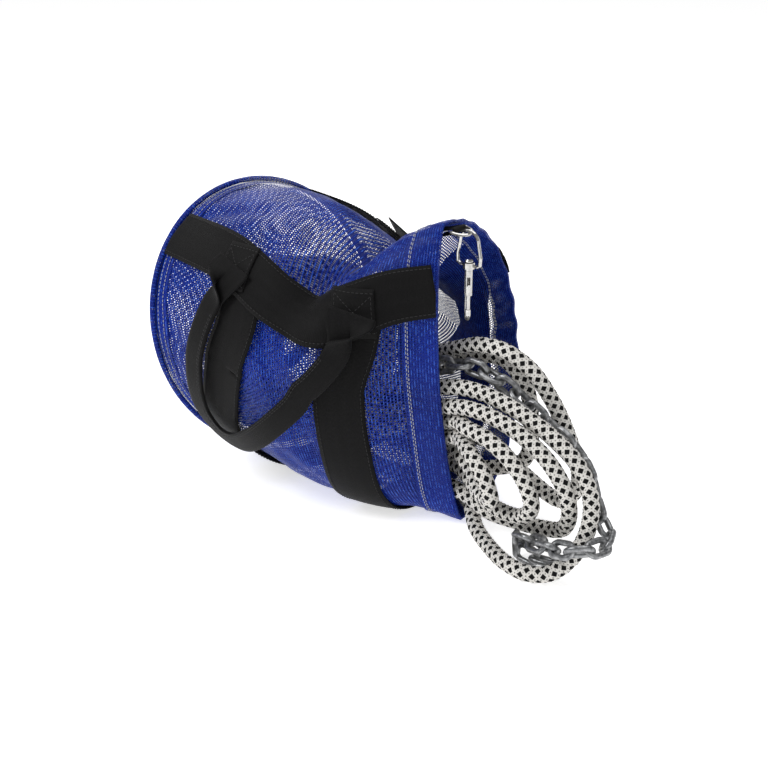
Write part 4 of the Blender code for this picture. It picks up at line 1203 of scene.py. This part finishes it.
@dataclass
class Straps:
    """Webbing sewn to the bag: straps, girth bands, handles and their sewn ends."""

    seams: Seams
    finish: bpy.types.Material
    width: float = 0.050
    thick: float = 0.0014
    folded: float = 0.025
    band_out: float = 0.0014
    strap_out: float = 0.0036
    patch_out: float = 0.0060
    patch_length: float = 0.038
    strip_from: float = 0.014
    strip_to: float = 0.994
    bridge: dict = field(default_factory=lambda: {Side.NEAR: 0.006, Side.FAR: 0.001})
    end_lift: dict = field(default_factory=lambda: {Side.NEAR: 0.0, Side.FAR: 0.0060})
    pocket: dict = field(default_factory=lambda: {Side.NEAR: 0.42, Side.FAR: 0.15})
    bridge_place: float = 0.66
    bridge_width: float = 0.14

    def build(self) -> None:
        """Builds the webbing from the skin outwards."""
        for name, line in BAND_LINES.items():
            self.strip(f"girth_{name}", line, self.width, self.band_out, 0.0, 150, (f"band_{name}",),
                       (0.0215,))
        for side in Side:
            line = self.for_side(STRAP_LINE, side)
            self.strip(f"strap_{side.value}_web", line, self.width, self.strap_out, self.bridge[side], 110,
                       (f"strap_{side.value}",), (0.0215,))
            self.handle(side)

    def for_side(self, line: Sequence[Sequence[float]], side: Side) -> list[tuple[float, ...]]:
        """Returns a near-side line, mirrored over the top for the far side."""
        if side is Side.NEAR:
            return [tuple(row) for row in line]
        return [(row[0], 180.0 - row[1], *row[2:]) for row in line]

    def strip_grid(self, line: Sequence[Sequence[float]], across: Array, out: float, bridge: float,
                   steps: int) -> tuple[Array, Array]:
        """Lays a strip on the skin and returns its grid of points and of outward directions.

        Sideways steps are carried into the skin's two numbers through its slopes, so the
        strip keeps its width; a bell raises it where it bridges the buckle.
        """
        line = np.array(line, float)
        knots = np.linspace(0.0, 1.0, len(line))
        line = smooth_curve(knots, line, np.linspace(0.0, 1.0, steps))
        along, around = line[:, 0], np.radians(line[:, 1])
        point, normal, slope_along, slope_around = SKIN.slopes(along, around)
        sideways = unit(np.cross(normal, np.gradient(point, axis=0)))
        aa, ab = (slope_along**2).sum(1), (slope_along * slope_around).sum(1)
        bb = (slope_around**2).sum(1)
        pa, pb = (slope_along * sideways).sum(1), (slope_around * sideways).sum(1)
        step_along = (pa * bb - pb * ab) / (aa * bb - ab**2)
        step_around = (pb * aa - pa * ab) / (aa * bb - ab**2)
        grid_along = along[:, None] + step_along[:, None] * across
        grid_around = around[:, None] + step_around[:, None] * across
        lift = out + bridge * np.exp(-((grid_along - self.bridge_place) / self.bridge_width)**2)
        kept = np.clip(grid_along, self.strip_from, self.strip_to)
        _, outward, _, _ = SKIN.slopes(kept, grid_around % TURN)
        return SKIN.at(kept, grid_around, lift), outward

    def web_uv(self, grid: Array, across: Array) -> Array:
        """Returns the webbing's map in metres: length and width."""
        return corner_uv(run_of(grid[:, grid.shape[1] // 2])[:, None], across[None, :])

    def strip(self, name: str, line: Sequence[Sequence[float]], width: float, out: float, bridge: float,
              steps: int, nodes: tuple[str, ...], seams: tuple[float, ...]) -> bpy.types.Object:
        """Builds one strip of webbing and sews it down along both edges."""
        across = np.linspace(-width / 2, width / 2, 11)
        grid, outward = self.strip_grid(line, across, out, bridge, steps)
        crown = -0.0004 * (np.abs(across) / (width / 2))**6
        grid = grid + outward * crown[None, :, None]
        mesh = fill_mesh(name, grid, grid_faces(*grid.shape[:2], False, False)[:, ::-1],
                         self.web_uv(grid, across).reshape(-1, 4, 2)[:, ::-1].reshape(-1, 2))
        piece = show(name, mesh, self.finish, Body.BAG, self.thick)
        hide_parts(*nodes)
        for offset in seams:
            for sign in (-1.0, 1.0):
                place = np.array([0.0, sign * offset * width / self.width])
                sewn, lean = self.strip_grid(line, place, out + self.thick, bridge, steps)
                self.seams.sew("dark.bag", sewn[:, 1], lean[:, 1])
        return piece

    def handle(self, side: Side) -> None:
        """Handle: webbing folded along its middle, opening flat towards its sewn ends.

        Half the width stays level; the other half turns about the fold line from flat
        beside it to flat on top of it, which leaves a pocket near each end.
        """
        line = np.array(self.for_side(HANDLE_LINE, side), float)
        at = np.linspace(0.0, 1.0, 130)
        line = smooth_curve(np.linspace(0.0, 1.0, len(line)), line, at)
        around = np.radians(line[:, 1])
        middle = SKIN.at(line[:, 0], around, line[:, 2] + self.end_lift[side] * (2.0 * at - 1.0)**2)
        _, normal, _, _ = SKIN.slopes(line[:, 0], around % TURN)
        sideways = unit(np.cross(normal, np.gradient(middle, axis=0)))
        run = run_of(middle)
        folded = ease(np.minimum(run, run[-1] - run) / 0.046)[:, None]
        across = np.concatenate([np.linspace(-0.025, -0.0006, 9), [0.0],
                                 np.linspace(0.0006, 0.025, 9)])[None, :]
        turn = math.pi * (1.0 - folded)
        fold_line = -self.folded / 2 * folded
        width = np.where(across >= 0, across, -across * np.cos(turn))
        lift = np.where(across >= 0, 0.0, -across * np.sin(turn) * self.pocket[side]
                        + self.layer_gap(-across) * folded)
        grid = (middle[:, None] + sideways[:, None] * (fold_line + width)[..., None]
                + normal[:, None] * (lift - self.thick)[..., None])
        body = Body.NEAR_HANDLE if side is Side.NEAR else Body.FAR_HANDLE
        uv = corner_uv(run[:, None], across).reshape(-1, 4, 2)[:, ::-1].reshape(-1, 2)
        mesh = fill_mesh(f"carry_{side.value}", grid, grid_faces(*grid.shape[:2], False, False)[:, ::-1], uv)
        piece = show(mesh.name, mesh, self.finish, body, self.thick * 0.9, 0.0)
        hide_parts(f"handle_{side.value}")
        inner = (run > 0.050) & (run < run[-1] - 0.050)
        for place in (0.0085, 0.0105):
            seam = middle + sideways * place + normal * (self.thick + 0.0009)
            self.seams.sew(f"dark.{body.value}", seam[inner], normal[inner])
        for end, label in ((0, "rear"), (-1, "front")):
            self.patch(side, label, line[end])

    def layer_gap(self, across: Array) -> Array:
        """Returns the gap between the folded layers, opening from the fold line."""
        return self.thick * 1.05 * ease(across / 0.003)

    def patch(self, side: Side, label: str, spot: Array) -> None:
        """The sewn end of a handle on its strap, with a boxed cross of stitching."""
        _, _, slope, _ = SKIN.slopes(spot[0], math.radians(spot[1]))
        half = self.patch_length / 2 / np.linalg.norm(slope)
        line = [(spot[0] - half, spot[1]), (spot[0], spot[1]), (spot[0] + half, spot[1])]
        width = self.width * 0.9
        self.strip(f"patch_{side.value}_{label}_web", line, width, self.patch_out, self.bridge[side], 24,
                   (f"patch_{side.value}_{label}",), (0.020,))
        across = np.linspace(-width * 0.4, width * 0.4, 30)
        grid, outward = self.strip_grid(line, across, self.patch_out + self.thick, self.bridge[side], 30)
        index = np.arange(2, 28)
        for rows, columns in ((index, index), (index, 29 - index), (np.full(26, 2), index),
                              (np.full(26, 27), index)):
            self.seams.sew("dark.bag", grid[rows, columns], outward[rows, columns])


# ------------------------------------------------------------------ hardware
@dataclass
class Hardware:
    """The D-ring's webbing tab, the rope's end tab and the metal parts' finishes."""

    webbing: bpy.types.Material
    rope: Rope
    thick: float = 0.0014
    bar_offset: tuple[float, float, float] = (0.0060, 0.0125, -0.0085)
    bar_radius: float = 0.0018
    tab_tail: float = 0.0220
    tab_width: float = 0.0176
    tab_slope_deg: float = 18.0
    nickel: Metal = Metal("bright nickel", (0.58, 0.57, 0.55), (0.44, 0.43, 0.42), 0.16, 260.0, 0.00003,
                          1.0, 0.08)
    steel: Metal = Metal("spring steel", (0.62, 0.62, 0.62), (0.32, 0.32, 0.33), 0.30, 300.0, 0.00008,
                         1.0, 0.2)
    inner_half: float = 0.0150
    inner_width: float = 0.0240

    def build(self) -> None:
        """Dresses the carried-over metal and builds the two tabs."""
        nickel, steel = self.nickel.material(), self.steel.material()
        for name in ("d_ring", "snap_eye", "swivel_post", "snap_hook", "snap_bolt"):
            self.dress(name, nickel)
        self.dress("snap_spring", steel)
        self.ring_tab()
        self.end_tab()

    def dress(self, name: str, finish: bpy.types.Material) -> None:
        """Gives a carried-over node a finish in every slot."""
        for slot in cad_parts[name].material_slots:
            slot.material = finish

    def ring_tab(self) -> None:
        """Tab round the D-ring's bar: two tails joined by a half circle, falling back under the hem."""
        bar = SKIN.base(np.array(1.0), np.array(math.pi / 2)) + np.array(self.bar_offset)
        radius = self.bar_radius + self.thick / 2
        turn = np.linspace(-math.pi / 2, math.pi / 2, 17)
        tail = np.linspace(-self.tab_tail, 0.0, 8)[:-1]
        out = np.concatenate([tail, radius * np.cos(turn), tail[::-1]])
        up = np.concatenate([0 * tail - radius, radius * np.sin(turn), 0 * tail + radius])
        slope = math.radians(self.tab_slope_deg)
        x = bar[0] + out * math.cos(slope) - up * math.sin(slope)
        z = bar[2] + out * math.sin(slope) + up * math.cos(slope)
        across = np.linspace(-self.tab_width / 2, self.tab_width / 2, 9)
        grid = np.stack(np.broadcast_arrays(x[:, None], bar[1] + across[None, :], z[:, None]), axis=-1)
        uv = corner_uv(run_of(grid[:, 4])[:, None], across[None, :])
        mesh = fill_mesh("ring_loop", grid, grid_faces(*grid.shape[:2], False, False), uv)
        piece = show("ring_loop", mesh, self.webbing, Body.BAG, self.thick * 0.94, 0.0)
        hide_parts("ring_tab")

    def end_tab(self) -> None:
        """Tab that holds the rope's inner end: a flat loop of webbing standing off the base."""
        axis = self.rope.axis()
        low, high = (np.array(corner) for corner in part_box("end_tab"))
        middle = (low + high) / 2
        side = unit(np.cross(axis, np.array([0.0, 0.0, 1.0])))
        face = np.cross(side, axis)
        half, thick = self.inner_half, self.thick * 0.9
        turn = np.linspace(-math.pi / 2, math.pi / 2, 11)
        reach = np.concatenate([[-half, 0.0], half - thick + thick * np.cos(turn), [0.0, -half]])
        lift = np.concatenate([[-thick, -thick], thick * np.sin(turn), [thick, thick]])
        across = np.linspace(-self.inner_width / 2, self.inner_width / 2, 9)
        grid = (middle + reach[:, None, None] * axis + lift[:, None, None] * face
                + across[None, :, None] * side)
        uv = corner_uv(run_of(grid[:, 4])[:, None], across[None, :])
        mesh = fill_mesh("inner_tab", grid, grid_faces(*grid.shape[:2], False, False), uv)
        piece = show("inner_tab", mesh, self.webbing, Body.BAG, self.thick * 0.7, 0.0)
        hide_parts("end_tab")


def main() -> None:
    """Builds the studio, the rope and chain, and the bag round them."""
    logging.basicConfig(level=logging.INFO, format="%(name)s %(message)s")
    Studio().build()
    rope = Rope()
    rope.build()
    Chain().build()
    seams = Seams()
    fabric = MeshFabric().material()
    doubled = MeshFabric("doubled mesh", opening=0.5).material()
    webbing = Webbing().material()
    Barrel(seams, fabric, doubled).build()
    Straps(seams, webbing).build()
    Hardware(webbing, rope).build()
    seams.build()


if __name__ == "__main__":
    main()
